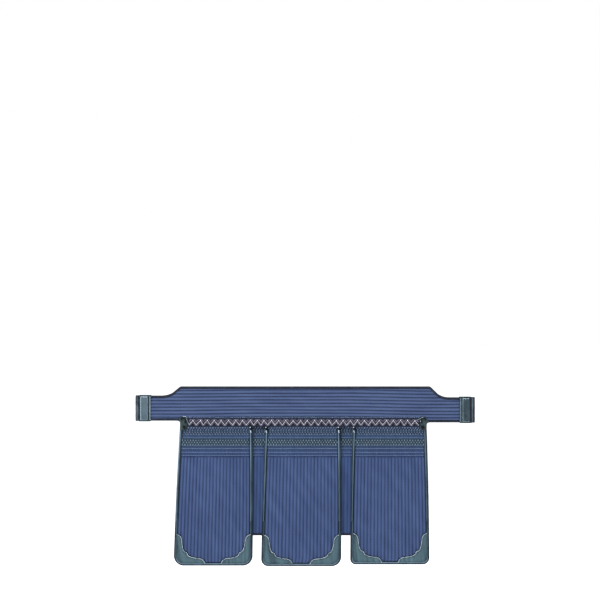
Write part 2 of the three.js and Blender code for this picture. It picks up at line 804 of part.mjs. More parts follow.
// Leather and thongs at the outer corners of the flap row
const shoulderKnotZ = BELT_BOTTOM + SHOULDER_PATCH_OVER_BELT - SHOULDER_PATCH_HEIGHT * 0.78;
for (const end of ENDS) {
  addPiece(`shoulder_patch_${end.name}`, shoulderPatch(end.side, end.edgeX), MATERIALS.leather);
  addPiece(`shoulder_thong_${end.name}`, shoulderThong(end.side, end.edgeX), MATERIALS.thong);
  const x = end.edgeX - end.side * SHOULDER_PATCH_WIDTH * 0.6;
  addPiece(`shoulder_knot_${end.name}`, knot(x, shoulderKnotZ, TRIM_FRONT), MATERIALS.thong);
}

// A knot at the top of each piping beside a gap
const GAP_KNOTS = [
  { name: "left_flap", flap: FRONT_FLAPS[0], side: 1 },
  { name: "centre_flap_left", flap: FRONT_FLAPS[1], side: -1 },
  { name: "centre_flap_right", flap: FRONT_FLAPS[1], side: 1 },
  { name: "right_flap", flap: FRONT_FLAPS[2], side: -1 },
];
const bandBottom = BELT_BOTTOM + JOIN_OVER_BELT - JOIN_HEIGHT;
const gapKnotZ = bandBottom - CLEARANCE - KNOT_HEIGHT / 2;
for (const place of GAP_KNOTS) {
  const sides = flapSides(place.flap, FRONT_SIZE);
  const x = sides.edgeX(place.side, gapKnotZ - sides.bottomZ, PIPING_WIDTH / 2);
  const carrierY = -BELT_THICKNESS - BINDING_PROUD - bowAt(gapKnotZ);
  addPiece(`gap_knot_${place.name}`, knot(x, gapKnotZ, carrierY), MATERIALS.thong);
}

export default tare;
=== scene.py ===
"""Kendo waist protector (tare), hanging flat and seen from the front.

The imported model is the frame: belt, tabs, flaps, bindings and trims lie where it says.
Every soft piece gets a surface of its own here: quilted pads with sewn channels, rolled
leather piping, cloud-edged leather corners, laced and stitched rows, tied thongs.
Lengths are millimetres until a mesh is made. A side is -1 for left and 1 for right.
"""

import math

import bpy
import numpy as np
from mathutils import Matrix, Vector


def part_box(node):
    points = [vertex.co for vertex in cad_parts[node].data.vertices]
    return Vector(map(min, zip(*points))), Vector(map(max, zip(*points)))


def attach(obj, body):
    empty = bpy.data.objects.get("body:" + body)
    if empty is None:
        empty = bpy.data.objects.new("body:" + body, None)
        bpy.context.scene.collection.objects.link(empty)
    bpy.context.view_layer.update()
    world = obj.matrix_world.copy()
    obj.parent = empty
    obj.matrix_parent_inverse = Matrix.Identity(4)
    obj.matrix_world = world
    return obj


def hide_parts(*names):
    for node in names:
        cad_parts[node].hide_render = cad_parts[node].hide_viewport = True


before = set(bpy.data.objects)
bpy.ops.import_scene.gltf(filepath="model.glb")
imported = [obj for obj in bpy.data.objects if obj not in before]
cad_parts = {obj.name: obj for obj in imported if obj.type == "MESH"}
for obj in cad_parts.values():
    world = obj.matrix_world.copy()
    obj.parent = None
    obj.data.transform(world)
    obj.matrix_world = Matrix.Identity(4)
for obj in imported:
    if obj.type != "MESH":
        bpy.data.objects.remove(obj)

MM = 0.001
BODY = "root"
SIDES = (("left", -1), ("right", 1))

# Camera: the photograph is square, and one of its pixels is this much of the belt
PHOTO_SIDE = 600
PIXEL = 2.15
ORIGIN_PIXEL = (305.2, 403.5)
LENS = 100.0
SENSOR = 36.0

# Lamps: place, width of the disk in metres, and power
LAMPS = {
    "key": ((-1500, -2100, 1900), 1.1, 74.0),
    "fill": ((2300, -2400, 500), 2.0, 13.0),
    "rear": ((600, 2600, 1500), 2.2, 45.0),
}
LAMP_TARGET = (0, 0, -150)
FLOOR_HEIGHT = -760.0
FLOOR_REACH = 30000.0
FLOOR_GLOW = 0.8
SKY_LIGHT = 0.42

# Outline of the belt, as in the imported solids. The hollow's parameter t solves
# HOLLOW[0] t^2 + HOLLOW[1] t = distance past the slope
SHOULDER = 269.0
NECK_HEIGHT = 54.0
END_DROPS = {-1: 0.8, 1: 4.5}
TAPER_SLOPE = 14.0
TAPER = 42.0
SLOPE_DROP = 0.58
HOLLOW = (7.0, 21.0)

# Bindings: width, reach over the pad, room beside it, and how proud of it edges stand
BINDING = 3.0
SEAM = 1.4
CLEARANCE = 0.3
BOUND_INSET = BINDING + CLEARANCE
EDGE_PROUD = 0.6

# Quilting of the belt
BELT_RIDGES = 9
STITCHED_STRIP = 8.2
RIDGE_SAG = {-1: 1.4, 1: 2.6}
SAG_FROM, SAG_TO = 90.0, 270.0
BELT_STITCH_PITCH = 5.2

# Flaps
PIPING = 6.0
PIPED_INSET = PIPING + CLEARANCE
FRONT_THICK = 7.5
REAR_THICK = 5.5
FRONT_RIBS = 21
REAR_RIBS = 19
RELIEF = 2.0
REAR_RELIEF = 0.7
RIM_ROUNDING = 4.5
PILLOW_POWER = 0.62
ROW_ZONE = 77.6
PATCH_REACH = 67.5
PATCH_INSET = 5.6
SHOULDER_WING = 6.0
SHOULDER_PATCH = 15.0

# Padding: how far it lifts a pad's cloth at most, and the steps of its simulation
SWELL_CAP = 1.1
SWELL_FRAMES = 20

# How finely surfaces are divided: rows and columns, the latter for each rib on a flap
FRONT_GRID = (236, 5)
REAR_GRID = (190, 4)
BELT_GRID = (90, 350)
PATCH_GRID = (24, 112)
COARSE_FLAP = (56, 30)
COARSE_BELT = (14, 120)

# Raised rows across the top of a flap: from and to as shares of the row zone, how far
# the row stands up, and how much its cloth leans from blue to teal
STITCHED_ROWS = (
    (0.000, 0.245, 0.5, 0.45),
    (0.245, 0.400, 0.7, 0.80),
    (0.400, 0.500, 0.8, 0.35),
    (0.500, 0.700, 0.7, 0.95),
    (0.700, 0.810, 0.9, 0.35),
    (0.810, 0.920, 0.9, 0.10),
    (0.920, 1.000, 0.8, 0.05),
)

# Pale cords sewn between those rows: place as a share of the row zone, and strength
ROW_CORDS = (
    (0.191, 0.9), (0.385, 0.65), (0.476, 0.7), (0.689, 0.6), (0.772, 0.95), (0.883, 0.85),
    (0.967, 1.0),
)
CORD_WIDTH = 1.25
RIBS_GROOVE = (0.994, 1.3)

# Stitches over those rows: kind, distance below the flap's top, lean, height, width, how
# proud they stand, and by how many half pitches they are shifted
ROW_STITCH_PITCH = 5.8
ROW_STITCHES = (
    ("leaning", 15.6, 1.9, 3.8, 1.9, 0.35, 0), ("dark", 15.6, 1.9, 3.8, 2.4, 0.25, 1),
    ("leaning", 20.0, 1.9, 3.8, 1.9, 0.35, 1), ("dark", 20.0, 1.9, 3.8, 2.4, 0.25, 2),
    ("dark", 25.0, -1.4, 3.2, 2.6, 0.25, 0), ("leaning", 25.0, -1.4, 3.0, 1.9, 0.35, 1),
    ("dark", 28.6, -1.4, 3.2, 2.6, 0.25, 1), ("leaning", 28.6, -1.4, 3.0, 1.9, 0.35, 2),
    ("upright", 42.4, 0.7, 3.6, 2.2, 0.4, 0), ("dark", 42.4, 0.7, 3.8, 2.9, 0.3, 1),
    ("upright", 46.6, 0.7, 3.6, 2.2, 0.4, 1), ("dark", 46.6, 0.7, 3.8, 2.9, 0.3, 2),
    ("upright", 51.2, 0.7, 3.6, 2.2, 0.4, 0), ("dark", 51.2, 0.7, 3.8, 2.9, 0.3, 1),
    ("dark", 56.8, 0.0, 1.9, 2.6, 0.25, 0),
)
CORD_STITCH_PITCH = 3.7
CORD_STITCH = (2.5, 0.0, 1.15, 0.15)

# Height between two quilting stitches in a channel of a flap
QUILT_PITCH = 5.6

# Small dashes above the lacing: kind, pitch, shift, and distance below the belt's ridges
STRIP_DASHES = (
    ("pale", 4.4, 0.0, 0.9), ("dark", 3.3, 2.2, 2.4), ("sky", 3.9, 1.0, 2.6),
    ("navy", 2.9, 0.4, 4.0),
)

# Cloud edge of a corner patch in shares of its reach, from the flap's side to the
# diagonal: end points and control points of its curves, mirrored past the diagonal
CLOUD = (
    ((0.0, 1.02), (0.22, 1.0), (0.245, 0.82)),
    ((0.245, 0.82), (0.27, 0.53), (0.35, 0.455)),
    ((0.35, 0.455), (0.3875, 0.44), (0.425, 0.425)),
)

# How pale the rolled leather is, by the distance from its outer edge: edges that face
# right and left at the gaps, the row's two outer edges, and the hem. On the side edges the
# pale bead is a painted highlight and the dark flanks are painted shade, as light falls
# from the left; on the hem the pale stretch is the cord's own colour
RIGHT_EDGE = (
    (0.0, 0.10), (1.0, 0.04), (3.6, 0.02), (4.3, 0.75), (4.9, 1.0), (5.5, 0.9), (6.0, 0.4),
)
LEFT_EDGE = (
    (0.0, 0.10), (0.7, 0.24), (1.1, 0.18), (1.5, 0.0), (2.3, 0.0), (2.7, 0.9), (3.1, 1.0),
    (3.6, 0.9), (4.0, 0.1), (4.4, 0.0), (6.0, 0.03),
)
FAR_LEFT_EDGE = ((0.0, 0.75), (3.0, 0.72), (3.5, 0.0), (4.9, 0.0), (5.5, 0.20), (6.0, 0.24))
FAR_RIGHT_EDGE = ((0.0, -0.1), (3.3, -0.05), (4.0, 0.50), (5.8, 0.58), (6.0, 0.50))
HEM_EDGE = ((0.0, 0.05), (3.7, 0.03), (4.2, 0.95), (5.2, 1.0), (5.7, 0.15), (6.0, 0.08))
EDGES = {
    "left": (FAR_LEFT_EDGE, RIGHT_EDGE),
    "centre": (LEFT_EDGE, RIGHT_EDGE),
    "right": (LEFT_EDGE, FAR_RIGHT_EDGE),
}

# Gaps: the front flaps that each rear flap stands between, and the knots beside them
GAPS = {"left": ("left", "centre"), "right": ("centre", "right")}
GAP_KNOTS = ("left_flap", "centre_flap_left", "centre_flap_right", "right_flap")

# Stitches on a gap knot: shares of its width and height, and length
KNOT_STITCHES = ((0.16, 0.85, 2.8), (0.30, -0.02, 3.0), (0.42, -0.32, 2.4))

# Painted light and shade on an end tab, by the distance from its inner edge: painted
# highlights on its raised edge band and the panel's borders, painted shade in the seams
# beside them
TAB_LIGHT_AND_SHADE = {
    -1: (
        (0.0, 0.75), (3.0, 0.72), (3.8, 0.05), (6.4, 0.06), (6.9, 0.62), (8.2, 0.40),
        (19.4, 0.42), (20.8, 0.55), (21.3, 0.72), (22.8, 0.68), (23.6, 0.10), (26.0, 0.08),
    ),
    1: (
        (0.0, 0.26), (1.5, 0.36), (2.0, 0.78), (2.9, 0.75), (3.5, 0.0), (5.5, 0.0),
        (6.1, 0.64), (7.4, 0.60), (8.2, 0.26), (21.6, 0.28), (22.2, 0.0), (26.0, 0.0),
    ),
}

# Upright stitch rows on an end tab, by the distance from its inner edge, and the span of
# its two level rows
TAB_ROWS = {
    -1: (
        (1.5, "frame"), (5.2, "seams"), (7.2, "frame"), (21.6, "bright_rows"),
        (24.2, "seams"),
    ),
    1: ((2.3, "frame"), (4.6, "seams"), (6.8, "frame"), (23.4, "seams")),
}
TAB_PANEL = (7.2, 20.8)
TAB_TURN = 3.2
TAB_WALL = 1.2

# Painted light and shade across a strap fold as light falls on its bend: how light it is
# by the distance from the tab that it lies against
STRAP_LIGHT_AND_SHADE = {
    -1: ((0.0, 0.04), (1.0, 0.08), (2.2, 0.36), (4.0, 0.33), (5.4, 0.18), (7.3, 0.09)),
    1: ((0.0, 0.30), (0.8, 0.60), (2.7, 0.56), (3.5, -0.25), (7.3, -0.30)),
}
STRAP_THICK = 2.9

# A shoulder thong's way in shares of its box: inwards and down
THONG_ROUTE = ((0.00, 0.45), (0.04, 0.12), (0.40, 0.0), (0.82, 0.12), (1.0, 0.45), (0.85, 1.0))
THONG_RADIUS = 1.35
SHOULDER_KNOT_RADIUS = 1.5
GAP_KNOT_RADIUS = 1.2

# Lacing: first and last corner, middle height, reach, and number of legs
LACING_ENDS = (-249.2, 243.3)
LACING_MIDDLE = -41.0
LACING_REACH = 9.6
LACING_LEGS = 64

# Its nested chevrons: kind, shift up, radius, and how proud they lie
CHEVRONS = (
    ("plum_upper", 1.6, 0.62, 0.25), ("plum_high", 3.0, 0.60, 0.14),
    ("mauve_upper", 4.9, 0.50, 0.16), ("mauve_high", 7.2, 0.66, 0.22),
    ("plum_lower", -1.5, 0.52, 0.26), ("mauve_lower", -3.6, 0.75, 0.22),
    ("plum_low", -6.0, 0.62, 0.40),
)

# Where the white thread comes from at the left shoulder and goes to at the right one: x,
# z, and how far it lies behind the shoulder leather's front. Stitches that hold it: x, z
# and direction
LEAD_IN = (
    (-263.2, -27.8, 0.4), (-260.0, -27.4, 0), (-256.8, -27.6, 0), (-255.3, -30.2, 0),
    (-254.2, -34.5, 0), (-252.4, -39.5, 0), (-249.6, -44.8, 0),
)
LEAD_OUT = ((238.9, -36.3, 0), (245.7, -32.9, 0), (252.4, -29.9, 0), (256.3, -30.8, 0.4))
HOLDING_STITCHES = (
    (-261.4, -27.4, (1.0, 0, 0)), (-257.9, -27.4, (1.0, 0, 0)),
    (252.2, -29.9, (1.0, 0, 0.4)), (247.8, -37.6, (0.3, 0, 1.0)),
)

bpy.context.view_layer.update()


# Measures taken from the frame

def mesh_points(mesh):
    """All points of a mesh, as rows of x, y and z."""
    flat = np.zeros(len(mesh.vertices) * 3)
    mesh.vertices.foreach_get("co", flat)
    return flat.reshape(-1, 3)


def box_mm(node):
    """Low and high corner of a CAD node's box, in millimetres."""
    low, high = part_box(node)
    return np.array(low) / MM, np.array(high) / MM


def box_ends(node, side):
    """A node's box, then its x nearest to the belt's middle and its x farthest from it."""
    low, high = box_mm(node)
    return (low, high, low[0], high[0]) if side > 0 else (low, high, high[0], low[0])


class Hanging:
    """One flap's outline and hang, read from its pad in the frame.

    Each side is a quadratic in the height, its lower corners are quarter circles, and
    it swings forward as the square of the distance below its top.
    """

    def __init__(self, node, pad_inset, left_corner, right_corner):
        points = mesh_points(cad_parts[node].data) / MM
        heights = np.unique(np.round(points[:, 2], 2))
        self.top = heights[-1]
        self.bottom = heights[0] - pad_inset
        self.length = self.top - self.bottom
        self.pad_inset = pad_inset
        self.radius = {-1: left_corner, 1: right_corner}

        def row(height):
            """The pad's points at a height."""
            return points[np.abs(points[:, 2] - height) < 0.02]

        levels = heights[heights > self.bottom + max(left_corner, right_corner) + 1.0]
        self.curve = {
            -1: np.polyfit(levels, [row(height)[:, 0].min() for height in levels], 2),
            1: np.polyfit(levels, [row(height)[:, 0].max() for height in levels], 2),
        }
        self.back = row(self.top)[:, 1].max()
        fall = (self.top - heights[0]) / self.length
        self.bow = (self.back - row(heights[0])[:, 1].max()) / fall**2

    def back_at(self, z):
        """y of the flap's back at a height."""
        fall = np.clip((self.top - z) / self.length, 0.0, 1.2)
        return self.back - self.bow * fall**2

    def side(self, side, z, inset=0.0):
        """x of one edge at a height, moved inwards by inset, corners included."""
        line = np.polyval(self.curve[side], z)
        radius = max(self.radius[side] - inset, 0.5)
        under = np.clip(radius - (z - self.bottom - inset), 0.0, radius)
        pull = radius - np.sqrt(radius**2 - under**2)
        return line + side * (self.pad_inset - inset - pull)

    def keep(self, heights, inset, **grids):
        """Remembers grids of the finished pad: from the top down, and left to right."""
        self.heights, self.inset, self.grids = heights, inset, grids

    def read(self, kind, x, z):
        """A kept grid's value at points x and z."""
        left, right = self.side(-1, z, self.inset), self.side(1, z, self.inset)
        grid = self.grids[kind]
        share = np.clip((x - left) / (right - left), 0.0, 1.0)
        down = np.interp(-z, -self.heights, np.arange(len(self.heights)))
        return read_grid(grid, down, share * (grid.shape[1] - 1))


def read_grid(grid, row, column, eased=False):
    """A grid's values between its points: straight, or eased from one to the next."""
    r = np.clip(row.astype(int), 0, grid.shape[0] - 2)
    c = np.clip(column.astype(int), 0, grid.shape[1] - 2)
    down, across = row - r, column - c
    if eased:
        down, across = smooth_step(down, 0, 1), smooth_step(across, 0, 1)
    upper = grid[r, c] * (1 - across) + grid[r, c + 1] * across
    lower = grid[r + 1, c] * (1 - across) + grid[r + 1, c + 1] * across
    return upper * (1 - down) + lower * down


FLAPS = {
    "left": Hanging("flap_left_pad", PIPED_INSET, 21.3, 21.0),
    "centre": Hanging("flap_centre_pad", PIPED_INSET, 15.0, 20.3),
    "right": Hanging("flap_right_pad", PIPED_INSET, 11.7, 14.7),
}
REAR_FLAPS = {
    "left": Hanging("rear_flap_left_pad", BOUND_INSET, 12.0, 12.0),
    "right": Hanging("rear_flap_right_pad", BOUND_INSET, 12.0, 12.0),
}
ROW_LEFT = FLAPS["left"].side(-1, FLAPS["left"].top)
ROW_RIGHT = FLAPS["right"].side(1, FLAPS["right"].top)
BELT_LOW, BELT_HIGH = box_mm("belt_pad")
BELT_THICK = -BELT_LOW[1]
BELT_TOP = box_mm("belt_top_binding")[1][2]
BELT_BOTTOM = FLAPS["left"].top + CLEARANCE
STRIP_TOP = BELT_BOTTOM + STITCHED_STRIP
RIDGE_PITCH = (BELT_TOP - STRIP_TOP) / BELT_RIDGES


def neck_bottom(side):
    """Height of the lower edge of the belt's narrow end on one side."""
    return BELT_BOTTOM - END_DROPS[side]


# Small sums that several pieces share

def unit(vectors):
    """The same directions with length 1, row by row."""
    return vectors / np.linalg.norm(vectors, axis=1, keepdims=True)


def circle(count):
    """Evenly spaced angles once round."""
    return np.arange(count) * (2 * math.pi / count)


def smooth_step(value, low, high):
    """0 up to low and 1 from high on, eased at both: 3 s^2 - 2 s^3 of the share between."""
    share = np.clip((value - low) / (high - low), 0, 1)
    return share * share * (3 - 2 * share)


def quarter_round(distance, radius):
    """Quarter-circle rise from an edge: 0 at the edge, 1 from the radius on."""
    inside = np.clip(distance / radius, 0, 1)
    return np.sqrt(1 - (1 - inside) ** 2)


def wander(*coordinates, seed):
    """Smooth seeded unevenness between about -1 and 1: a sum of a few sine waves."""
    draw = np.random.default_rng(seed)
    waves, height = 5, 1.4
    total = 0.0
    for _ in range(waves):
        phase = draw.uniform(0, 2 * math.pi)
        for coordinate in coordinates:
            phase = phase + coordinate * draw.uniform(0.6, 3.2) * 2 * math.pi
        total = total + np.sin(phase)
    return total / waves * height


def name_seed(text):
    """A number that is always the same for the same name."""
    return sum(ord(letter) * (place + 3) for place, letter in enumerate(text))


def line_places(line):
    """How far along a line each of its points lies."""
    steps = np.linalg.norm(np.diff(line, axis=0), axis=1)
    return np.concatenate([[0], np.cumsum(steps)])


def line_at(line, place, at):
    """Points of a line at distances along it."""
    return np.stack([np.interp(at, place, line[:, k]) for k in range(line.shape[1])], axis=1)


def even_line(line, count):
    """The same line with its points evenly spaced along it."""
    place = line_places(line)
    return line_at(line, place, np.linspace(0, place[-1], count))


def bezier(points, count):
    """A quadratic curve through its end points."""
    a, b, c = (np.array(point, float) for point in points)
    t = np.linspace(0, 1, count)[:, None]
    return a * (1 - t) ** 2 + 2 * b * t * (1 - t) + c * t**2


def smooth_path(control, count):
    """A Catmull-Rom curve through control points, computed for all its points at once."""
    before, after = 2 * control[0] - control[1], 2 * control[-1] - control[-2]
    ends = np.concatenate([[before], control, [after]])
    at = np.linspace(0, len(control) - 1 - 1e-9, count)
    k = at.astype(int)
    t = (at - k)[:, None]
    a, b, c, d = ends[k], ends[k + 1], ends[k + 2], ends[k + 3]
    square, cube = 2 * a - 5 * b + 4 * c - d, 3 * b - a - 3 * c + d
    return 0.5 * (2 * b + (c - a) * t + square * t**2 + cube * t**3)


# Making meshes

def make_mesh(name, points, faces, material, smooth=True, **attributes):
    """A mesh from points in millimetres and faces. Attributes are one number a point."""
    mesh = bpy.data.meshes.new(name)
    mesh.from_pydata((np.asarray(points) * MM).tolist(), [], faces)
    mesh.materials.append(material)
    mesh.polygons.foreach_set("use_smooth", np.full(len(mesh.polygons), smooth))
    for key, values in attributes.items():
        layer = mesh.attributes.new(key, "FLOAT", "POINT")
        layer.data.foreach_set("value", np.asarray(values, np.float32).ravel())
    mesh.update()
    piece = bpy.data.objects.new(name, mesh)
    bpy.context.scene.collection.objects.link(piece)
    return piece


def point_outwards(piece):
    """Turns a closed mesh inside out if its volume came out negative."""
    mesh = piece.data
    mesh.calc_loop_triangles()
    corners = np.zeros(len(mesh.loop_triangles) * 3, int)
    mesh.loop_triangles.foreach_get("vertices", corners)
    a, b, c = np.moveaxis(mesh_points(mesh)[corners.reshape(-1, 3)], 1, 0)
    if np.einsum("ij,ij->i", a, np.cross(b, c)).sum() < 0:
        mesh.flip_normals()


def add_piece(name, points, faces, material, slot, replaces=(), closed=True, **attributes):
    """A finished piece of the object. A closed one is turned right side out."""
    piece = make_mesh(name, points, faces, material, **attributes)
    if closed:
        point_outwards(piece)
    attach(piece, BODY)
    if replaces:
        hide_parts(*replaces)
    return piece


def add_slab(name, front, back, material, slot, node, **attributes):
    """A closed piece for a CAD node, from a front and a back grid of points.

    Each attribute is a pair: one value or grid for the front, and one for the back.
    """
    values = {
        key: np.stack([np.broadcast_to(part, front.shape[:2]) for part in pair])
        for key, pair in attributes.items()
    }
    return add_piece(
        name, slab_points(front, back), slab_faces(*front.shape[:2]), material, slot, [node],
        **values,
    )


def add_swept(name, path, section, y_at, material, slot, node, **attributes):
    """A closed piece for a CAD node: a section carried along a path in the XZ plane.

    path is rows of x and z, section is rows of n and t: n goes to the left of the
    path, and t is depth added to y_at(z).
    """
    tangent = unit(np.gradient(path, axis=0))
    x = path[:, :1] - tangent[:, 1:] * section[:, 0]
    z = path[:, 1:] + tangent[:, :1] * section[:, 0]
    points = np.stack([x, y_at(z) + section[:, 1], z], axis=2).reshape(-1, 3)
    faces = swept_faces(len(path), len(section))
    return add_piece(name, points, faces, material, slot, [node], **attributes)


def add_threads(name, shapes, material, slot):
    """One piece from several cords or groups of stitches."""
    points, faces, start = [], [], 0
    for shape_points, shape_faces in shapes:
        points.append(shape_points)
        faces += [[corner + start for corner in face] for face in shape_faces]
        start += len(shape_points)
    return add_piece(name, np.concatenate(points), faces, material, slot)


def strip_faces(first, second, closed=False):
    """Quads between two equally long rows of point numbers."""
    if closed:
        first = np.append(first, first[0])
        second = np.append(second, second[0])
    return np.stack([first[:-1], second[:-1], second[1:], first[1:]], axis=1)


def slab_points(front, back):
    """The points of a front grid, then those of a back grid."""
    return np.concatenate([front.reshape(-1, 3), back.reshape(-1, 3)])


def slab_faces(rows, columns):
    """Faces of a closed slab: a front grid, then a back grid with the same divisions.

    Both grids run from the top down and left to right. The rims are joined by quads.
    """
    front = np.arange(rows * columns).reshape(rows, columns)
    back = front + rows * columns
    parts = [strip_faces(upper, lower) for upper, lower in zip(front, front[1:])]
    parts += [strip_faces(lower, upper) for upper, lower in zip(back, back[1:])]
    parts.append(strip_faces(back[0], front[0]))
    parts.append(strip_faces(front[-1], back[-1]))
    parts.append(strip_faces(front[:, 0], back[:, 0]))
    parts.append(strip_faces(back[:, -1], front[:, -1]))
    return np.concatenate(parts).tolist()


def swept_faces(rings, sides, loop=False):
    """Faces of rings of points joined along a path: a loop, or closed at both ends."""
    index = np.arange(rings * sides).reshape(rings, sides)
    ahead = np.roll(index, -1, axis=0) if loop else index[1:]
    pairs = zip(index, ahead)
    faces = np.concatenate([strip_faces(*pair, closed=True) for pair in pairs]).tolist()
    if loop:
        return faces
    return faces + [index[0].tolist(), index[-1][::-1].tolist()]


def circles_across(path, tangent, reference, radius, sides):
    """Circles round the points of a path, across its direction.

    Each stands on the cross product of the direction with a reference axis, and on the
    cross product of the direction with that.
    """
    across = unit(np.cross(tangent, reference))
    other = np.cross(tangent, across)
    angle = circle(sides)[None, :, None]
    ring = np.cos(angle) * across[:, None] + np.sin(angle) * other[:, None]
    return (path[:, None] + radius * ring).reshape(-1, 3)


def cord(path, radius, sides=6):
    """A round cord along a path. No part of it may run along the reference axis."""
    tangent = unit(np.gradient(path, axis=0))
    reference = np.array([0.31, 1.0, 0.17])
    points = circles_across(path, tangent, reference, radius, sides)
    return points, swept_faces(len(path), sides)


def stitches(centres, along, length, width, lift=(0.0, -1.0, 0.0)):
    """Many short thread stitches: one small capsule at each centre, laid along a direction.

    Each capsule is two rings of five points and two tips, stretched along the stitch and
    flattened a little towards the cloth. along is one direction, or one a stitch.
    """
    centres = np.asarray(centres, float)
    along = unit(np.broadcast_to(np.asarray(along, float), centres.shape))
    side = unit(np.cross(along, np.broadcast_to(lift, along.shape)))
    up = np.cross(side, along)
    sides, tip_at, ring_at, flat = 5, 0.5, 0.3, 0.8
    angle = circle(sides)
    ring = np.stack([np.zeros(sides), np.cos(angle), flat * np.sin(angle)], axis=1)
    template = np.concatenate([
        [[-tip_at, 0.0, 0.0]],
        ring * [1, 0.5, 0.5] + [-ring_at, 0, 0],
        ring * [1, 0.5, 0.5] + [ring_at, 0, 0],
        [[tip_at, 0.0, 0.0]],
    ])
    scale = np.stack(np.broadcast_arrays(length, width, width), axis=-1)
    local = template[None] * np.broadcast_to(scale, (len(centres), 3))[:, None]
    points = (
        centres[:, None]
        + local[..., :1] * along[:, None]
        + local[..., 1:2] * side[:, None]
        + local[..., 2:] * up[:, None]
    )
    first = 1 + np.arange(sides)
    second = first + sides
    next_first, next_second = np.roll(first, -1), np.roll(second, -1)
    quads = np.stack([first, next_first, next_second, second], axis=1)
    starts = np.stack([np.zeros(sides, int), next_first, first], axis=1)
    ends = np.stack([np.full(sides, 2 * sides + 1), second, next_second], axis=1)
    offsets = (np.arange(len(centres)) * len(template))[:, None, None]
    faces = []
    for block in (quads, starts, ends):
        faces += (block[None] + offsets).reshape(-1, block.shape[1]).tolist()
    return points.reshape(-1, 3), faces


def stitch_line(line, pitch, reach):
    """Middles of stitches at a pitch along a line, and directions taken over a reach of it."""
    place = line_places(line)
    count = max(int(place[-1] / pitch), 1)
    middle = (np.arange(count) + 0.5) * place[-1] / count
    ahead = line_at(line, place, np.minimum(middle + reach / 2, place[-1]))
    behind = line_at(line, place, np.maximum(middle - reach / 2, 0))
    return line_at(line, place, middle), ahead - behind


# Materials

class Paint:
    """A node material and the few node forms that it is built from."""

    def __init__(self, name, roughness, sheen=0.0, sheen_roughness=0.5, specular=0.5):
        self.material = bpy.data.materials.new(name)
        self.material.use_nodes = True
        self.nodes = self.material.node_tree.nodes
        self.links = self.material.node_tree.links
        self.shader = self.nodes["Principled BSDF"]
        self.shader.inputs["Roughness"].default_value = roughness
        self.shader.inputs["Sheen Weight"].default_value = sheen
        self.shader.inputs["Sheen Roughness"].default_value = sheen_roughness
        self.shader.inputs["Specular IOR Level"].default_value = specular
        self.object_coordinates = self.nodes.new("ShaderNodeTexCoord").outputs["Object"]

    def attribute(self, name):
        """The mesh's own number of that name."""
        node = self.nodes.new("ShaderNodeAttribute")
        node.attribute_name = name
        return node.outputs["Fac"]

    def noise(self, scale, stretch=(1, 1, 1), detail=3.0):
        """Soft unevenness, with features of about a metre over the scale."""
        mapping = self.nodes.new("ShaderNodeMapping")
        mapping.inputs["Scale"].default_value = stretch
        self.links.new(self.object_coordinates, mapping.inputs["Vector"])
        node = self.nodes.new("ShaderNodeTexNoise")
        node.inputs["Scale"].default_value = scale
        node.inputs["Detail"].default_value = detail
        node.inputs["Roughness"].default_value = 0.55
        self.links.new(mapping.outputs["Vector"], node.inputs["Vector"])
        return node.outputs["Fac"]

    def threads(self, direction, pitch):
        """Even bands along X, Y or Z, one for each thread."""
        node = self.nodes.new("ShaderNodeTexWave")
        node.bands_direction = direction
        node.inputs["Scale"].default_value = math.pi / 10 / (pitch * MM)
        node.inputs["Distortion"].default_value = 0.6
        node.inputs["Detail"].default_value = 1.0
        self.links.new(self.object_coordinates, node.inputs["Vector"])
        return node.outputs["Fac"]

    def grain(self, scale):
        """Cells of leather grain: distance from the cell borders."""
        node = self.nodes.new("ShaderNodeTexVoronoi")
        node.feature = "DISTANCE_TO_EDGE"
        node.inputs["Scale"].default_value = scale
        self.links.new(self.object_coordinates, node.inputs["Vector"])
        return node.outputs["Distance"]

    def math(self, operation, first, second):
        """A sum or product of two outputs, or of an output and a number."""
        node = self.nodes.new("ShaderNodeMath")
        node.operation = operation
        for socket, value in zip(node.inputs, (first, second)):
            if isinstance(value, (int, float)):
                socket.default_value = value
            else:
                self.links.new(value, socket)
        return node.outputs[0]

    def ramp(self, factor, low, high, low_out=0.0, high_out=1.0):
        """An output brought from one range to another and held in it."""
        node = self.nodes.new("ShaderNodeMapRange")
        node.inputs["From Min"].default_value = low
        node.inputs["From Max"].default_value = high
        node.inputs["To Min"].default_value = low_out
        node.inputs["To Max"].default_value = high_out
        self.links.new(factor, node.inputs["Value"])
        return node.outputs["Result"]

    def mix(self, factor, first, second):
        """From the first colour at 0 to the second at 1. Each is a colour or an output."""
        node = self.nodes.new("ShaderNodeMix")
        node.data_type = "RGBA"
        self.links.new(factor, node.inputs["Factor"])
        for socket, value in ((node.inputs[6], first), (node.inputs[7], second)):
            if isinstance(value, tuple):
                socket.default_value = (*value, 1.0)
            else:
                self.links.new(value, socket)
        return node.outputs[2]

    def colour(self, output):
        """Gives the shader its colour."""
        self.links.new(output, self.shader.inputs["Base Color"])

    def bump(self, height, distance, strength=1.0):
        """Fine relief of a depth in millimetres, laid over any that is there already."""
        node = self.nodes.new("ShaderNodeBump")
        node.inputs["Distance"].default_value = distance * MM
        node.inputs["Strength"].default_value = strength
        self.links.new(height, node.inputs["Height"])
        previous = self.shader.inputs["Normal"]
        if previous.links:
            self.links.new(previous.links[0].from_socket, node.inputs["Normal"])
        self.links.new(node.outputs["Normal"], previous)


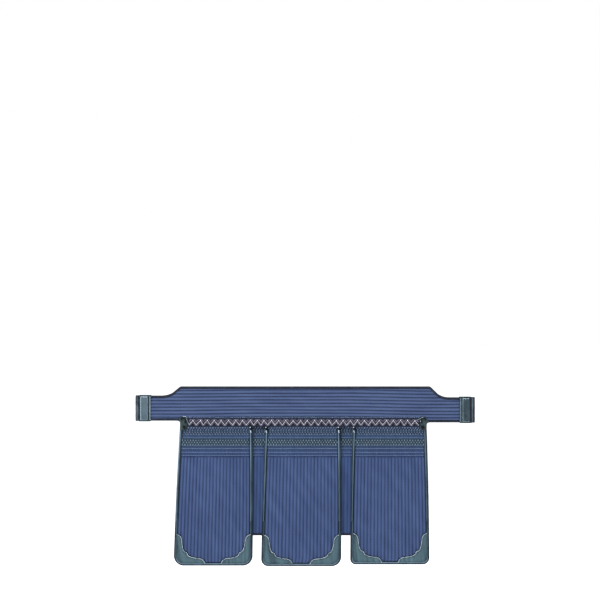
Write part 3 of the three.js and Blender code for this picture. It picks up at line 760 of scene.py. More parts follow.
def indigo_cloth(name, blue, teal, streak):
    """Quilted indigo cotton, with painted shade in the sewn channels and painted light on the
    crests.

    blue and teal are each a colour for the channels and one for the crests. The
    attribute rise carries the painted light and shade, and teal says where the teal rows
    are. streak stretches the fading along the quilting.
    """
    paint = Paint(name, roughness=0.9, sheen=0.06, sheen_roughness=0.45, specular=0.22)
    # The attribute rise carries painted light on the crests and painted shade in the channels and
    # dents.
    rise = paint.attribute("rise")
    slubs = paint.ramp(paint.noise(140, streak, detail=4), 0.3, 0.7, -0.12, 0.12)
    fading = paint.ramp(paint.noise(9, detail=2), 0.3, 0.7, -0.06, 0.06)
    lit = paint.math("ADD", rise, paint.math("ADD", slubs, fading))
    paint.colour(paint.mix(paint.attribute("teal"), paint.mix(lit, *blue), paint.mix(lit, *teal)))
    weave = paint.math("MULTIPLY", *(paint.threads(way, pitch=0.9) for way in "XZ"))
    paint.bump(weave, distance=0.18, strength=0.5)
    paint.bump(paint.noise(420), distance=0.25, strength=0.35)
    return paint.material


def plain_cloth(name, dark, light, pitch=0.8, toned=False):
    """Woven binding or strap cloth in one dye, with uneven fading and a visible weave.

    A toned cloth also reads the attribute tone, from 0 for dark to 1 for light.
    """
    paint = Paint(name, roughness=0.88, sheen=0.06, specular=0.25)
    fading = paint.ramp(paint.noise(60, detail=4), 0.3, 0.7)
    if toned:
        faint = paint.ramp(fading, 0.0, 1.0, -0.2, 0.2)
        fading = paint.math("ADD", faint, paint.attribute("tone"))
    paint.colour(paint.mix(fading, dark, light))
    weave = paint.math("MULTIPLY", *(paint.threads(way, pitch) for way in "XZ"))
    paint.bump(weave, distance=0.2, strength=0.6)
    return paint.material


def leather(name, dark, light, roughness, grain_scale=900, toned=False):
    """Dyed leather: fine grain, broad uneven dye in soft streaks and fine specks.

    A toned leather also reads the attribute tone, from 0 for dark to 1 for pale, which on
    the tabs, corner patches and shoulders carries painted light and shade.
    """
    paint = Paint(name, roughness=roughness, specular=0.28)
    dye = paint.ramp(paint.noise(34, (1, 1, 0.4), detail=4), 0.3, 0.72, -0.2, 0.2)
    specks = paint.ramp(paint.noise(700, detail=2), 0.35, 0.7, -0.12, 0.12)
    shade = paint.math("ADD", dye, specks)
    shade = paint.math("ADD", shade, paint.attribute("tone") if toned else 0.5)
    paint.colour(paint.mix(shade, dark, light))
    paint.bump(paint.grain(grain_scale), distance=0.25, strength=0.5)
    paint.bump(paint.noise(220, (1, 1, 0.5)), distance=0.3, strength=0.35)
    return paint.material


def piping_leather(name, dark, pale):
    """Rolled leather edge: attribute tone is 1 on the bead and 0 in its seams. On the side
    edges it carries a painted highlight on the bead and painted shade on the flanks; on
    the hem it is the pale cord's own colour.
    """
    paint = Paint(name, roughness=0.55, specular=0.22)
    rubbed = paint.ramp(paint.noise(90, (1, 1, 0.25)), 0.3, 0.7, -0.12, 0.12)
    paint.colour(paint.mix(paint.math("ADD", paint.attribute("tone"), rubbed), dark, pale))
    paint.bump(paint.grain(1200), distance=0.15, strength=0.4)
    return paint.material


def thread(name, colour, shade, roughness=0.65, sheen=0.1):
    """Twisted sewing thread, uneven in tone from stitch to stitch."""
    paint = Paint(name, roughness=roughness, sheen=sheen, specular=0.3)
    paint.colour(paint.mix(paint.ramp(paint.noise(260, detail=2), 0.35, 0.65), shade, colour))
    paint.bump(paint.threads("X", pitch=0.35), distance=0.08, strength=0.5)
    return paint.material


# Channel and crest colours of the quilted cloth: the dark one carries painted shade and the light
# one painted light. The rear flaps' colours are darker, as painted shade where they hang behind the
# front flaps.
FLAP_BLUE = ((0.008, 0.018, 0.062), (0.060, 0.097, 0.214))
BELT_BLUE = ((0.009, 0.019, 0.066), (0.075, 0.111, 0.222))
REAR_BLUE = ((0.009, 0.018, 0.050), (0.046, 0.082, 0.204))
FRONT_TEAL = ((0.008, 0.022, 0.036), (0.048, 0.092, 0.142))
REAR_TEAL = ((0.009, 0.024, 0.034), (0.040, 0.078, 0.112))

CLOTH_FLAP = indigo_cloth("indigo_flap", FLAP_BLUE, FRONT_TEAL, (1, 1, 0.08))
CLOTH_REAR = indigo_cloth("indigo_rear_flap", REAR_BLUE, REAR_TEAL, (1, 1, 0.08))
CLOTH_BELT = indigo_cloth("indigo_belt", BELT_BLUE, FRONT_TEAL, (0.08, 1, 1))
CLOTH_BINDING = plain_cloth("dark_binding", (0.006, 0.009, 0.016), (0.020, 0.026, 0.042))
CLOTH_STRAP = plain_cloth(
    "strap_cotton", (0.009, 0.015, 0.021), (0.190, 0.255, 0.325), pitch=1.1, toned=True,
)
CLOTH_BAND = plain_cloth(
    "lacing_ground", (0.005, 0.006, 0.015), (0.018, 0.020, 0.042), pitch=0.7,
)
LEATHER_PATCH = leather(
    "patch_leather", (0.009, 0.026, 0.036), (0.070, 0.132, 0.162), roughness=0.6,
    toned=True,
)
LEATHER_SHOULDER = leather(
    "shoulder_leather", (0.006, 0.015, 0.018), (0.048, 0.080, 0.086), roughness=0.6,
    toned=True,
)
LEATHER_TAB = leather(
    "tab_leather", (0.006, 0.019, 0.028), (0.110, 0.172, 0.208), roughness=0.5,
    toned=True,
)
PIPING_ROLLED = piping_leather("piping_leather", (0.004, 0.014, 0.026), (0.152, 0.235, 0.305))
THREAD_WHITE = thread("white_thread", (0.92, 0.91, 1.0), (0.66, 0.64, 0.74))
THREAD_KNOT = thread("bright_thread", (0.96, 0.95, 1.0), (0.82, 0.81, 0.90))
THREAD_CLOUD = thread("cloud_thread", (0.62, 0.74, 0.84), (0.42, 0.52, 0.60))
THREAD_PALE = thread("pale_thread", (0.32, 0.42, 0.48), (0.18, 0.25, 0.29))
THREAD_SKY = thread("sky_thread", (0.17, 0.24, 0.38), (0.075, 0.115, 0.20))
THREAD_INDIGO = thread("indigo_thread", (0.010, 0.020, 0.056), (0.004, 0.009, 0.027))
THREAD_TEAL = thread("teal_thread", (0.21, 0.31, 0.37), (0.09, 0.14, 0.175))
THREAD_MAUVE = thread("mauve_thread", (0.150, 0.145, 0.225), (0.055, 0.053, 0.092))
THREAD_PLUM = thread(
    "plum_thread", (0.010, 0.008, 0.018), (0.004, 0.003, 0.008), roughness=0.8, sheen=0.0,
)
THONG = leather(
    "black_thong", (0.001, 0.0018, 0.0025), (0.004, 0.007, 0.009), roughness=0.92,
    grain_scale=1500,
)


# Quilted pads

def pillow(phase):
    """Cross profile of quilted ribs, 0 in the channels and 1 on the crests."""
    return np.abs(np.sin(math.pi * phase)) ** PILLOW_POWER


def swell(pads):
    """How far padding pushes each pad's cloth out, by one cloth simulation of all pads.

    Each pad is a coarse slab whose rim is pinned. Pressure swells it over a few steps,
    the movement is capped, and what is returned is a grid of distances in millimetres
    over its front, from the top down.
    """
    grids = {}
    slabs = {}
    for name, (front, back) in pads.items():
        rows, columns = front.shape[:2]
        slab = make_mesh(
            f"swell_{name}", slab_points(front, back), slab_faces(rows, columns), CLOTH_FLAP,
        )
        rim = np.ones((2, rows, columns), bool)
        rim[:, 1:-1, 1:-1] = False
        group = slab.vertex_groups.new(name="rim")
        group.add(np.flatnonzero(rim).tolist(), 1.0, "REPLACE")
        cloth = slab.modifiers.new("Cloth", "CLOTH")
        cloth.settings.vertex_group_mass = "rim"
        cloth.settings.quality = 4
        cloth.settings.use_pressure = True
        cloth.settings.uniform_pressure_force = 4.0
        cloth.settings.tension_stiffness = 12
        cloth.settings.bending_stiffness = 1.5
        cloth.settings.effector_weights.gravity = 0.0
        cloth.collision_settings.use_collision = False
        cloth.point_cache.frame_end = SWELL_FRAMES
        slabs[name] = slab
    scene = bpy.context.scene
    for step in range(1, SWELL_FRAMES + 1):
        scene.frame_set(step)
    graph = bpy.context.evaluated_depsgraph_get()
    for name, slab in slabs.items():
        still = pads[name][0]
        moved = mesh_points(slab.evaluated_get(graph).to_mesh()) / MM
        moved = moved.reshape(2, *still.shape)[0]
        out = np.clip(still[..., 1] - moved[..., 1], 0, None)
        grids[name] = SWELL_CAP * (1 - np.exp(-out / SWELL_CAP))
    scene.frame_set(1)
    for slab in slabs.values():
        bpy.data.objects.remove(slab)
    return grids


def spread(grid, rows, columns):
    """A coarse grid, smoothed once, read at finer shares of its height and width."""
    padded = np.pad(grid, 1, mode="edge")
    grid = (
        4 * grid + padded[:-2, 1:-1] + padded[2:, 1:-1] + padded[1:-1, :-2] + padded[1:-1, 2:]
    ) / 8
    row = rows[:, None] * (grid.shape[0] - 1)
    column = columns[None, :] * (grid.shape[1] - 1)
    return read_grid(grid, row, column, eased=True)


def flap_grid(flap, inset, heights, shares):
    """x and z of a grid over a flap: heights from the top down, shares of its width."""
    left = flap.side(-1, heights, inset)
    right = flap.side(1, heights, inset)
    x = left[:, None] + (right - left)[:, None] * shares[None, :]
    return x, np.broadcast_to(heights[:, None], x.shape)


def coarse_flap(flap, inset, thick):
    """Coarse front and back grids of a flap, for its cloth simulation."""
    rows, columns = COARSE_FLAP
    heights = np.linspace(flap.top, flap.bottom + inset, rows)
    x, z = flap_grid(flap, inset, heights, np.linspace(0, 1, columns))
    back = flap.back_at(z)
    return np.stack([x, back - thick * 0.6, z], axis=2), np.stack([x, back, z], axis=2)


def coarse_belt():
    """Coarse front and back grids of the belt, from its upper to its lower edge."""
    rows, columns = COARSE_BELT
    x = np.linspace(BELT_LOW[0], BELT_HIGH[0], columns)
    edge = belt_top_line(x, BOUND_INSET)
    z = edge[None, :] + (BELT_BOTTOM - edge)[None, :] * np.linspace(0, 1, rows)[:, None]
    x = np.broadcast_to(x[None, :], z.shape)
    return [np.stack([x, np.full_like(z, -BELT_THICK * share), z], axis=2) for share in (0.7, 0.1)]


def belt_top_line(x, inset):
    """Height of the belt's upper edge at a distance from its middle, moved down by inset.

    Flat to the shoulder, a straight slope, then a quadratic curve into the narrow neck,
    whose height above the neck falls as the square of 1 - t. The binding takes a little
    more of the steep part.
    """
    neck_top = np.where(x < 0, neck_bottom(-1), neck_bottom(1)) + NECK_HEIGHT
    x = np.abs(x)
    slope_end = SHOULDER + TAPER_SLOPE
    drop = (BELT_TOP - neck_top) * SLOPE_DROP
    past = np.clip(x - slope_end, 0, TAPER - TAPER_SLOPE)
    a, b = HOLLOW
    t = (np.sqrt(b**2 + 4 * a * past) - b) / (2 * a)
    hollow = (BELT_TOP - drop - neck_top) * (1 - t) ** 2
    slope = BELT_TOP - drop * np.clip((x - SHOULDER) / TAPER_SLOPE, 0, 1)
    line = np.where(x < slope_end, slope, neck_top + hollow)
    steep = np.where((x > SHOULDER - 1) & (x < slope_end + 6), 0.3, 0.0)
    return line - inset * (1 + steep)


def ridge_sag(x):
    """How far the belt's ridges have sunk at a distance from its middle: a smooth step."""
    sag = np.where(x < 0, RIDGE_SAG[-1], RIDGE_SAG[1])
    return sag * smooth_step(np.abs(x), SAG_FROM, SAG_TO)


def strip_rise(z):
    """Rise of the flat strip under the belt's ridges: one groove near its upper border."""
    groove_down, groove_width = 3.9, 0.9
    return 0.78 - 0.74 * np.exp(-(((STRIP_TOP - z - groove_down) / groove_width) ** 2))


def make_belt_pad(crown):
    """Quilted belt: horizontal ridges cut off by the tapers, and a flat stitched strip.

    Rows run between the lower and upper edge, so ridges are found by height and not by
    row: the ridge profile is a function of z alone, and the rim rounding of the
    distance to the outline. Outside the flap row the lower edge is bound and lower.
    """
    low, high = BELT_LOW[0], BELT_HIGH[0]
    left_end, right_end = ROW_LEFT - CLEARANCE, ROW_RIGHT + CLEARANCE
    rows, columns = BELT_GRID
    across = np.unique(np.concatenate([
        np.linspace(low, high, columns),
        [side * (SHOULDER + d) for _, side in SIDES for d in np.linspace(-4, TAPER, 24)],
        [end + shift for end in (left_end, right_end) for shift in (-CLEARANCE, CLEARANCE)],
    ]))
    top = belt_top_line(across, BOUND_INSET)
    bottom = np.where(across < left_end, neck_bottom(-1) + BOUND_INSET, BELT_BOTTOM)
    bottom = np.where(across > right_end, neck_bottom(1) + BOUND_INSET, bottom)
    shares = np.linspace(0, 1, rows)
    z = top[None, :] + (bottom - top)[None, :] * shares[:, None]
    x = np.broadcast_to(across[None, :], z.shape)
    waver = wander(x / 700, z / 80, seed=11) * 0.06
    phase = (BELT_TOP - ridge_sag(x) - z) / RIDGE_PITCH + waver
    stitch_phase = 2 * math.pi * x / BELT_STITCH_PITCH + math.pi * np.floor(phase)
    dent = (0.5 + 0.5 * np.cos(stitch_phase)) * (1 - pillow(phase))
    above = z > STRIP_TOP
    above |= (x < left_end + SHOULDER_PATCH) | (x > right_end - SHOULDER_PATCH)
    rise = np.where(above, pillow(phase), strip_rise(z))
    edge = np.minimum.reduce([top[None, :] - z, z - bottom[None, :], x - low, high - x])
    rim = quarter_round(edge, RIM_ROUNDING)
    out = spread(crown, shares, (across - low) / (high - low))
    depth = BELT_THICK * (0.45 + 0.55 * rim) + out * 0.8
    depth = depth - (RELIEF * (1 - rise) + 0.25 * dent) * rim
    back_rise = np.where(above, pillow(phase), 0.6)
    back_depth = 0.9 * (1 - back_rise) + 0.7 * (1 - rim)
    faded = 0.05 * wander(x / 160, z / 40, seed=12)
    # Painted light and shade: lighter on the ridges, darker in the channels, the stitch dents and
    # the strip's groove, and darker towards the rim where the pad rounds down. The back gets a
    # darker copy.
    shade = (0.80 * rise - 0.18 * dent + faded) * (0.8 + 0.2 * rim)
    teal = np.where(above, 0.0, 0.1)
    piece = add_slab(
        "belt_pad_quilted", np.stack([x, -depth, z], axis=2), np.stack([x, -back_depth, z], axis=2),
        CLOTH_BELT, "indigo_cloth", "belt_pad", rise=(shade, shade * 0.8), teal=(teal, teal),
    )

    def belt_front(at_x, at_z):
        """y of the belt's front at points, read between the grid's points."""
        high_edge, low_edge = np.interp(at_x, across, top), np.interp(at_x, across, bottom)
        row = np.clip((high_edge - at_z) / (high_edge - low_edge), 0, 1) * (rows - 1)
        return read_grid(-depth, row, np.interp(at_x, across, np.arange(len(across))))

    return belt_front


def row_profile(down):
    """Rise, shade and teal tint of the stitched rows, by the share of the row zone passed.

    A row is a low pillow between its borders, with painted light on its crest. Each pale
    cord adds a narrow bell curve to the rise and the shade, and the groove above the ribs
    takes one away, as painted shade in that groove.
    """
    def bell(place, width):
        """A bell curve over a share of the row zone, its width in millimetres."""
        return np.exp(-(((down - place) * ROW_ZONE / width) ** 2))

    rise = np.zeros_like(down)
    teal = np.zeros_like(down)
    for start, end, height, tint in STITCHED_ROWS:
        inside = (down >= start) & (down < end)
        rise = np.where(inside, pillow((down - start) / (end - start)) * height, rise)
        teal = np.where(inside, tint, teal)
    shade = 0.32 + 0.17 * rise
    for place, strength in ROW_CORDS:
        raised = strength * bell(place, CORD_WIDTH)
        rise = rise + 0.45 * raised
        shade = shade + 0.44 * raised
    sunk = 0.4 * bell(*RIBS_GROOVE)
    return rise - sunk, shade - sunk, teal


def make_flap_pad(part, flap, crown, seed, inset, thick, relief, ribs, grid, cloth):
    """Quilted flap: stitched rows across the top, then ribs that fan out downwards.

    The rise is the row profile above the ribs' start and the rib profile below it. The
    surface is the flap's back, less its thickness, less the crown, with the relief cut
    in; near the rim it rounds down to under half of its thickness. Every second stitch
    of neighbouring channels pulls the cloth down at the same height.
    """
    rows, rib_columns = grid
    zone_end = flap.top - ROW_ZONE
    upper_rows = int(rows * 0.52)
    heights = np.unique(np.concatenate([
        np.linspace(flap.top, zone_end, upper_rows),
        np.linspace(zone_end, flap.bottom + inset, rows - upper_rows),
    ]))[::-1]
    shares = np.linspace(0, 1, ribs * rib_columns + 1)
    x, z = flap_grid(flap, inset, heights, shares)
    across = np.broadcast_to(shares[None, :], x.shape)
    down = (flap.top - z) / ROW_ZONE
    in_rows = z > zone_end
    below = np.clip((zone_end - z) / 3.0, 0.0, 1.0)

    waver = wander(across, z / 300, seed=seed) * 0.045
    phase = across * ribs + waver * np.sin(math.pi * across)
    ribbed = pillow(phase)
    pull = 0.5 + 0.5 * np.cos(2 * math.pi * z / QUILT_PITCH + math.pi * np.floor(phase))
    dent = pull * (1 - ribbed)
    stitched, row_shade, teal = row_profile(down)
    row_number = np.searchsorted([start for start, *_ in STITCHED_ROWS], down)
    dots = np.cos(2 * math.pi * x / 4.4 + math.pi * row_number) * np.cos(2 * math.pi * z / 5.1)
    rise = np.where(in_rows, stitched + 0.12 * dots, (ribbed - 0.12 * dent) * below)

    left, right = flap.side(-1, z, inset), flap.side(1, z, inset)
    edge = np.minimum.reduce([x - left, right - x, z - flap.bottom - inset, flap.top - z + 1.5])
    rim = quarter_round(edge, RIM_ROUNDING)
    out = spread(crown, (flap.top - heights) / (flap.top - heights[-1]), shares)
    depth = thick * (0.42 + 0.58 * rim) - relief * (1 - rise) * rim + out
    back = flap.back_at(z)
    front = np.stack([x, back - depth, z], axis=2)
    flap.keep(heights, inset, cloth=front[..., 1], crown=out)
    back = back - 0.8 * (1 - ribbed * in_rows) * rim * 0.6 - 0.4 * (1 - rim)

    uneven = 0.10 * wander(across * 9, z / 20, seed=seed + 1)
    faded = 0.07 * wander(across * 2, z / 120, seed=seed + 2)
    # Painted light and shade: lighter on the crests, darker in the channels and the stitch dents,
    # and darker towards the rim where the pad rounds down. The back gets a darker copy.
    rib_shade = 0.31 + 0.44 * ribbed * below - 0.26 * dent + faded
    shade = np.where(in_rows, row_shade + uneven + 0.10 * dots, rib_shade) * (0.7 + 0.3 * rim)
    teal = teal * in_rows
    piece = add_slab(
        f"{part}_pad_quilted", front, np.stack([x, back, z], axis=2), cloth, "indigo_cloth",
        f"{part}_pad", rise=(shade, shade * 0.8), teal=(teal, teal * 0.5),
    )


# Edges

def roll_section(tones):
    """Points round a rolled edge, n to the outside and t from 0 to its depth, and tones.

    The front is a quarter round at the outer edge and level behind it, its pale
    stretches stand proud as a bead does, and it dips at the seam beside the pad.
    """
    depth = FRONT_THICK + EDGE_PROUD
    places, pale = np.array(tones).T
    distance = np.linspace(PIPING, 0.0, 25)
    tone = np.interp(distance, places, pale)
    seam = np.exp(-(((PIPING - distance) / 0.5) ** 2))
    height = depth * (0.42 + 0.48 * quarter_round(distance, 2.6)) + 0.9 * tone - 1.4 * seam
    half = PIPING / 2
    front = np.stack([half - distance, -height], axis=1)
    back = np.array([
        (half + 0.05, -depth * 0.25), (half - 0.1, -0.8), (half - 0.8, 0.0), (0.0, 0.05),
        (0.5 - half, 0.0), (-half - 0.9, -0.6), (-half - 0.9, -2.4),
    ])
    back_tone = [tone[-1], tone[-1] * 0.7, 0.1, 0.1, 0.1, 0.1, 0.0]
    return np.concatenate([front, back]), np.concatenate([tone, back_tone])


def rounded_section(width, depth):
    """Points around a rounded rectangle: n across from -width/2, t from 0 to -depth."""
    count = 16
    angle = circle(count) + math.pi / count
    rounded = [np.sign(wave) * np.sqrt(np.abs(wave)) for wave in (np.cos(angle), np.sin(angle))]
    n, t = rounded[0] * width / 2, rounded[1] * depth / 2 - depth / 2
    return np.stack([n, t], axis=1)


def edge_path(flap, side, inset, top, bottom, count):
    """Down one side of a flap at an inset, as rows of x and z."""
    z = np.linspace(top, bottom, count)
    return np.stack([flap.side(side, z, inset), z], axis=1)


def hem_path(flap, inset, top):
    """From a height on a flap's left side down, round both corners and up again."""
    sides = []
    for _, side in SIDES:
        radius = flap.radius[side] - inset
        turn = flap.bottom + flap.radius[side]
        count = max(int((top - turn) / 2.0), 3)
        angle = np.linspace(0, math.pi / 2, 11)[1:]
        straight = edge_path(flap, side, inset, top, turn, count)
        centre = straight[-1, 0] - side * radius
        arc_x, arc_z = centre + side * radius * np.cos(angle), turn - radius * np.sin(angle)
        sides.append(np.concatenate([straight, np.stack([arc_x, arc_z], axis=1)]))
    left, right = sides
    floor_x = np.linspace(left[-1, 0], right[-1, 0], 60)[1:-1]
    floor = np.stack([floor_x, np.full(len(floor_x), flap.bottom + inset)], axis=1)
    return np.concatenate([left, floor, right[::-1]])


def make_piping(name, flap, word, side, tones):
    """Rolled leather down one side of a flap, with a painted highlight on its bead that is
    paler at the top than lower down.
    """
    node = f"flap_{name}_piping_{word}"
    low, high = box_mm(node)
    path = edge_path(flap, side, PIPING / 2, high[2], low[2], 130)
    path[:, 0] += wander(np.linspace(0, 3, len(path)), seed=name_seed(node)) * 0.12
    section, tone = roll_section(tones)
    # The painted highlight on the bead weakens down the flap.
    highlight_falloff = 1.0 - 0.42 * smooth_step(high[2] - path[:, 1], 20.0, 150.0)
    add_swept(
        f"{node}_rolled", path, section * [side, 1], flap.back_at, PIPING_ROLLED, "piping", node,
        tone=highlight_falloff[:, None] * tone[None, :],
    )


def make_hem(name, flap):
    """Rolled leather round the lower edge of a front flap, with a pale cord in its seam."""
    node = f"flap_{name}_hem_binding"
    path = hem_path(flap, PIPING / 2, box_mm(node)[1][2])
    section, tone = roll_section(HEM_EDGE)
    level = 1 - smooth_step(path[:, 1] - flap.bottom, 6.0, 22.0)
    add_swept(
        f"{node}_rolled", path, section * [-1, 1], flap.back_at, PIPING_ROLLED, "piping", node,
        tone=(0.32 + 0.68 * level)[:, None] * tone[None, :],
    )


def make_rear_hem(name, flap):
    """Dark cloth bound round the edge of a rear flap."""
    node = f"rear_flap_{name}_hem_binding"
    path = hem_path(flap, BINDING / 2, box_mm(node)[1][2])
    section = rounded_section(BINDING + SEAM, REAR_THICK) + [SEAM / 2, 0]
    add_swept(
        f"{node}_wrapped", path, section, flap.back_at, CLOTH_BINDING, "binding_cloth", node,
    )


def make_belt_bindings():
    """Rounded dark binding over the belt's top edge, and under each end of the belt."""
    section = rounded_section(BINDING + SEAM, BELT_THICK + EDGE_PROUD) - [SEAM / 2, 0]
    low, high = box_mm("belt_top_binding")
    x = np.unique(np.concatenate([
        np.linspace(low[0], high[0], 200),
        [side * (SHOULDER + d) for _, side in SIDES for d in np.linspace(-6, TAPER + 4, 40)],
    ]))
    paths = {"belt_top_binding": (np.stack([x, belt_top_line(x, BINDING / 2)], axis=1), 1)}
    for word, _ in SIDES:
        low, high = box_mm(f"belt_bottom_binding_{word}")
        x = np.linspace(low[0], high[0], 40)
        path = np.stack([x, np.full(len(x), (low[2] + high[2]) / 2)], axis=1)
        paths[f"belt_bottom_binding_{word}"] = path, -1
    for node, (path, up) in paths.items():
        add_swept(
            f"{node}_wrapped", path, section * [up, 1], np.zeros_like, CLOTH_BINDING,
            "binding_cloth", node,
        )


# Leather corners

def cloud_edge():
    """The cloud edge of a patch in shares of its reach, from the side to the bottom.

    Its first half is drawn, and its second half is the first mirrored past the diagonal.
    """
    curves = [bezier(curve, 24)[:-1] for curve in CLOUD]
    half = np.concatenate(curves + [[CLOUD[-1][-1]]])
    return np.concatenate([half, half[::-1, ::-1]])


def patch_lines(flap, side, count):
    """Cloud edge and outer edge of a corner patch, point for point, as x and z.

    The outer edge keeps clear of the rolled hem, so the cloud edge is clipped to it.
    """
    cloud = even_line(cloud_edge(), count)
    radius = flap.radius[side]
    floor = flap.bottom + PATCH_INSET
    z = np.maximum(flap.bottom + cloud[:, 1] * PATCH_REACH, floor)
    straight = np.maximum(z, flap.bottom + radius)
    x = flap.side(side, straight) - side * cloud[:, 0] * PATCH_REACH
    limit = flap.side(side, straight, PATCH_INSET)
    inner = np.stack([side * np.minimum(side * x, side * limit), z], axis=1)
    reach = PATCH_REACH * 1.01
    side_line = edge_path(
        flap, side, PATCH_INSET, flap.bottom + reach, flap.bottom + radius, 20,
    )
    turn = radius - PATCH_INSET
    centre = side_line[-1, 0] - side * turn
    angle = np.linspace(0, math.pi / 2, 12)[1:-1]
    arc_x = centre + side * turn * np.cos(angle)
    arc = np.stack([arc_x, flap.bottom + radius - turn * np.sin(angle)], axis=1)
    corner_x = side_line[-1, 0] + side * PATCH_INSET
    base_x = np.linspace(centre, corner_x - side * reach, 20)
    base = np.stack([base_x, np.full(20, floor)], axis=1)
    return inner, even_line(np.concatenate([side_line, arc, base]), count)


def make_corner_patch(name, flap, word, side):
    """Leather corner sewn over the quilting, inside the rolled hem.

    Rows run from the cloud edge to the outer edge, columns along them. Its front is
    turned down at both edges and has soft upright folds; its back is a wall's
    thickness behind.
    """
    node = f"flap_{name}_corner_patch_{word}"
    rows, columns = PATCH_GRID
    inner, outer = patch_lines(flap, side, columns)
    grid = inner[None] + (outer - inner)[None] * np.linspace(0, 1, rows)[:, None, None]
    x, z = grid[..., 0], grid[..., 1]
    from_outer = np.linalg.norm(grid - outer[None], axis=2)
    from_cloud = np.linalg.norm(grid - inner[None], axis=2)
    rim = quarter_round(from_outer, 2.4)
    turned = quarter_round(from_cloud, 1.8)
    folds = wander(x / 22, z / 160, seed=name_seed(node))
    rise = 0.35 + 0.85 * np.minimum(rim, turned) + 0.28 * folds * rim * turned
    cloth_y = flap.back_at(z) - FRONT_THICK - flap.read("crown", x, z)
    inside = smooth_step(np.minimum(from_outer, from_cloud), 0.5, 7.0)
    # Painted shade where the leather turns down at its edges, and painted light where its folds
    # stand up.
    tone = 0.30 + 0.34 * inside + 0.20 * folds
    add_slab(
        f"{node}_sewn", np.dstack([x, cloth_y - 0.7 - rise, z]), np.dstack([x, cloth_y + 0.4, z]),
        LEATHER_PATCH, "leather", node, tone=(tone, tone),
    )
    return inner, outer


def on_cloth(flap, points, lift):
    """Points given as x and z, laid on the quilted front of a flap."""
    y = flap.read("cloth", points[:, 0], points[:, 1]) - lift
    return np.stack([points[:, 0], y, points[:, 1]], axis=1)


def on_leather(flap, points, lift):
    """Points given as x and z, laid over a flap at a distance from its flattened crown."""
    y = flap.back_at(points[:, 1]) - FRONT_THICK - lift
    y = y - flap.read("crown", points[:, 0], points[:, 1])
    return np.stack([points[:, 0], y, points[:, 1]], axis=1)


def make_patch_threads(name, flap, patches):
    """Uneven pale thread along the cloud edges, and beside it on the cloth a dark thread that
    lays a painted shadow under the patch's edge.
    """
    pitch, reach, edge_points = 2.7, 2.4, 90
    pale, dark = [], []
    draw = np.random.default_rng(name_seed(name) + 40)
    for inner, outer in patches:
        away = outer - inner
        length = np.linalg.norm(away, axis=1, keepdims=True)
        inwards = away / np.maximum(length, 1e-6)
        apart = length[:, 0] > 1.2
        line = even_line((inner + inwards * 0.5)[apart], edge_points)
        centres, along = stitch_line(on_leather(flap, line, lift=1.8), pitch, reach)
        uneven = 1 + draw.normal(0, 0.14, len(centres))
        pale.append(stitches(centres, along, length=3.1 * uneven, width=0.9 * uneven))
        # A dark thread on the cloth beside the edge, as painted shadow.
        line = even_line((inner - inwards * 1.1)[apart], edge_points)
        centres, along = stitch_line(on_cloth(flap, line, lift=0.35), pitch, reach)
        dark.append(stitches(centres, along, length=2.9, width=1.7))
    add_threads(f"flap_{name}_cloud_stitching", pale, THREAD_CLOUD, "lacing_ground")
    add_threads(f"flap_{name}_painted_shadow_stitching", dark, THREAD_INDIGO, "lacing_ground")


# Stitched rows and quilting threads

def make_row_stitches(name, flap, span=(-1000.0, 1000.0)):
    """Leaning, upright and running stitches over the rows across the top of a flap.

    Pale and dark stitches take turns. Those of the upper rows lean one way and then the
    other, those of the lower rows stand nearly upright, and running ones follow the cords.
    """
    draw = np.random.default_rng(name_seed(name))
    paints = {
        "leaning": THREAD_SKY, "upright": THREAD_TEAL, "dark": THREAD_INDIGO, "cord": THREAD_SKY,
    }
    sets = {kind: [] for kind in paints}

    def row(kind, z, pitch, lean, height, width, proud, shift=0.0):
        """One row of uneven stitches at a height, as long as its lean and height make it."""
        left = max(flap.side(-1, z, 7.5), span[0])
        right = min(flap.side(1, z, 7.5), span[1])
        x = np.arange(left + shift, right, pitch)
        centres = on_cloth(flap, np.stack([x, np.full(len(x), z)], axis=1), proud)
        along = np.tile([lean, 0.0, height], (len(x), 1))
        along = along + draw.normal(0, 0.22, along.shape) * [1, 0, 1]
        length = math.hypot(lean, height) * (1 + draw.normal(0, 0.08, len(x)))
        sets[kind].append(stitches(centres, along, length, width))

    for kind, down, lean, height, width, proud, halves in ROW_STITCHES:
        shift = halves * ROW_STITCH_PITCH / 2
        row(kind, flap.top - down, ROW_STITCH_PITCH, lean, height, width, proud, shift)
    for place, _ in ROW_CORDS:
        row("cord", flap.top - place * ROW_ZONE, CORD_STITCH_PITCH, *CORD_STITCH)
    for kind, paint in paints.items():
        add_threads(f"flap_{name}_{kind}_rows", sets[kind], paint, "indigo_cloth")


def make_rib_stitches(name, flap, inset, ribs):
    """Quilting stitches down the channels between the ribs of a flap."""
    z = np.arange(flap.top - ROW_ZONE - 4.0, flap.bottom + inset + 3.0, -QUILT_PITCH)
    x, z = flap_grid(flap, inset, z, np.arange(1, ribs) / ribs)
    centres = on_cloth(flap, np.stack([x.ravel(), z.ravel()], axis=1), lift=0.05)
    shapes = [stitches(centres, (0, 0, 1), length=3.8, width=1.2)]
    add_threads(f"flap_{name}_quilting", shapes, THREAD_INDIGO, "indigo_cloth")


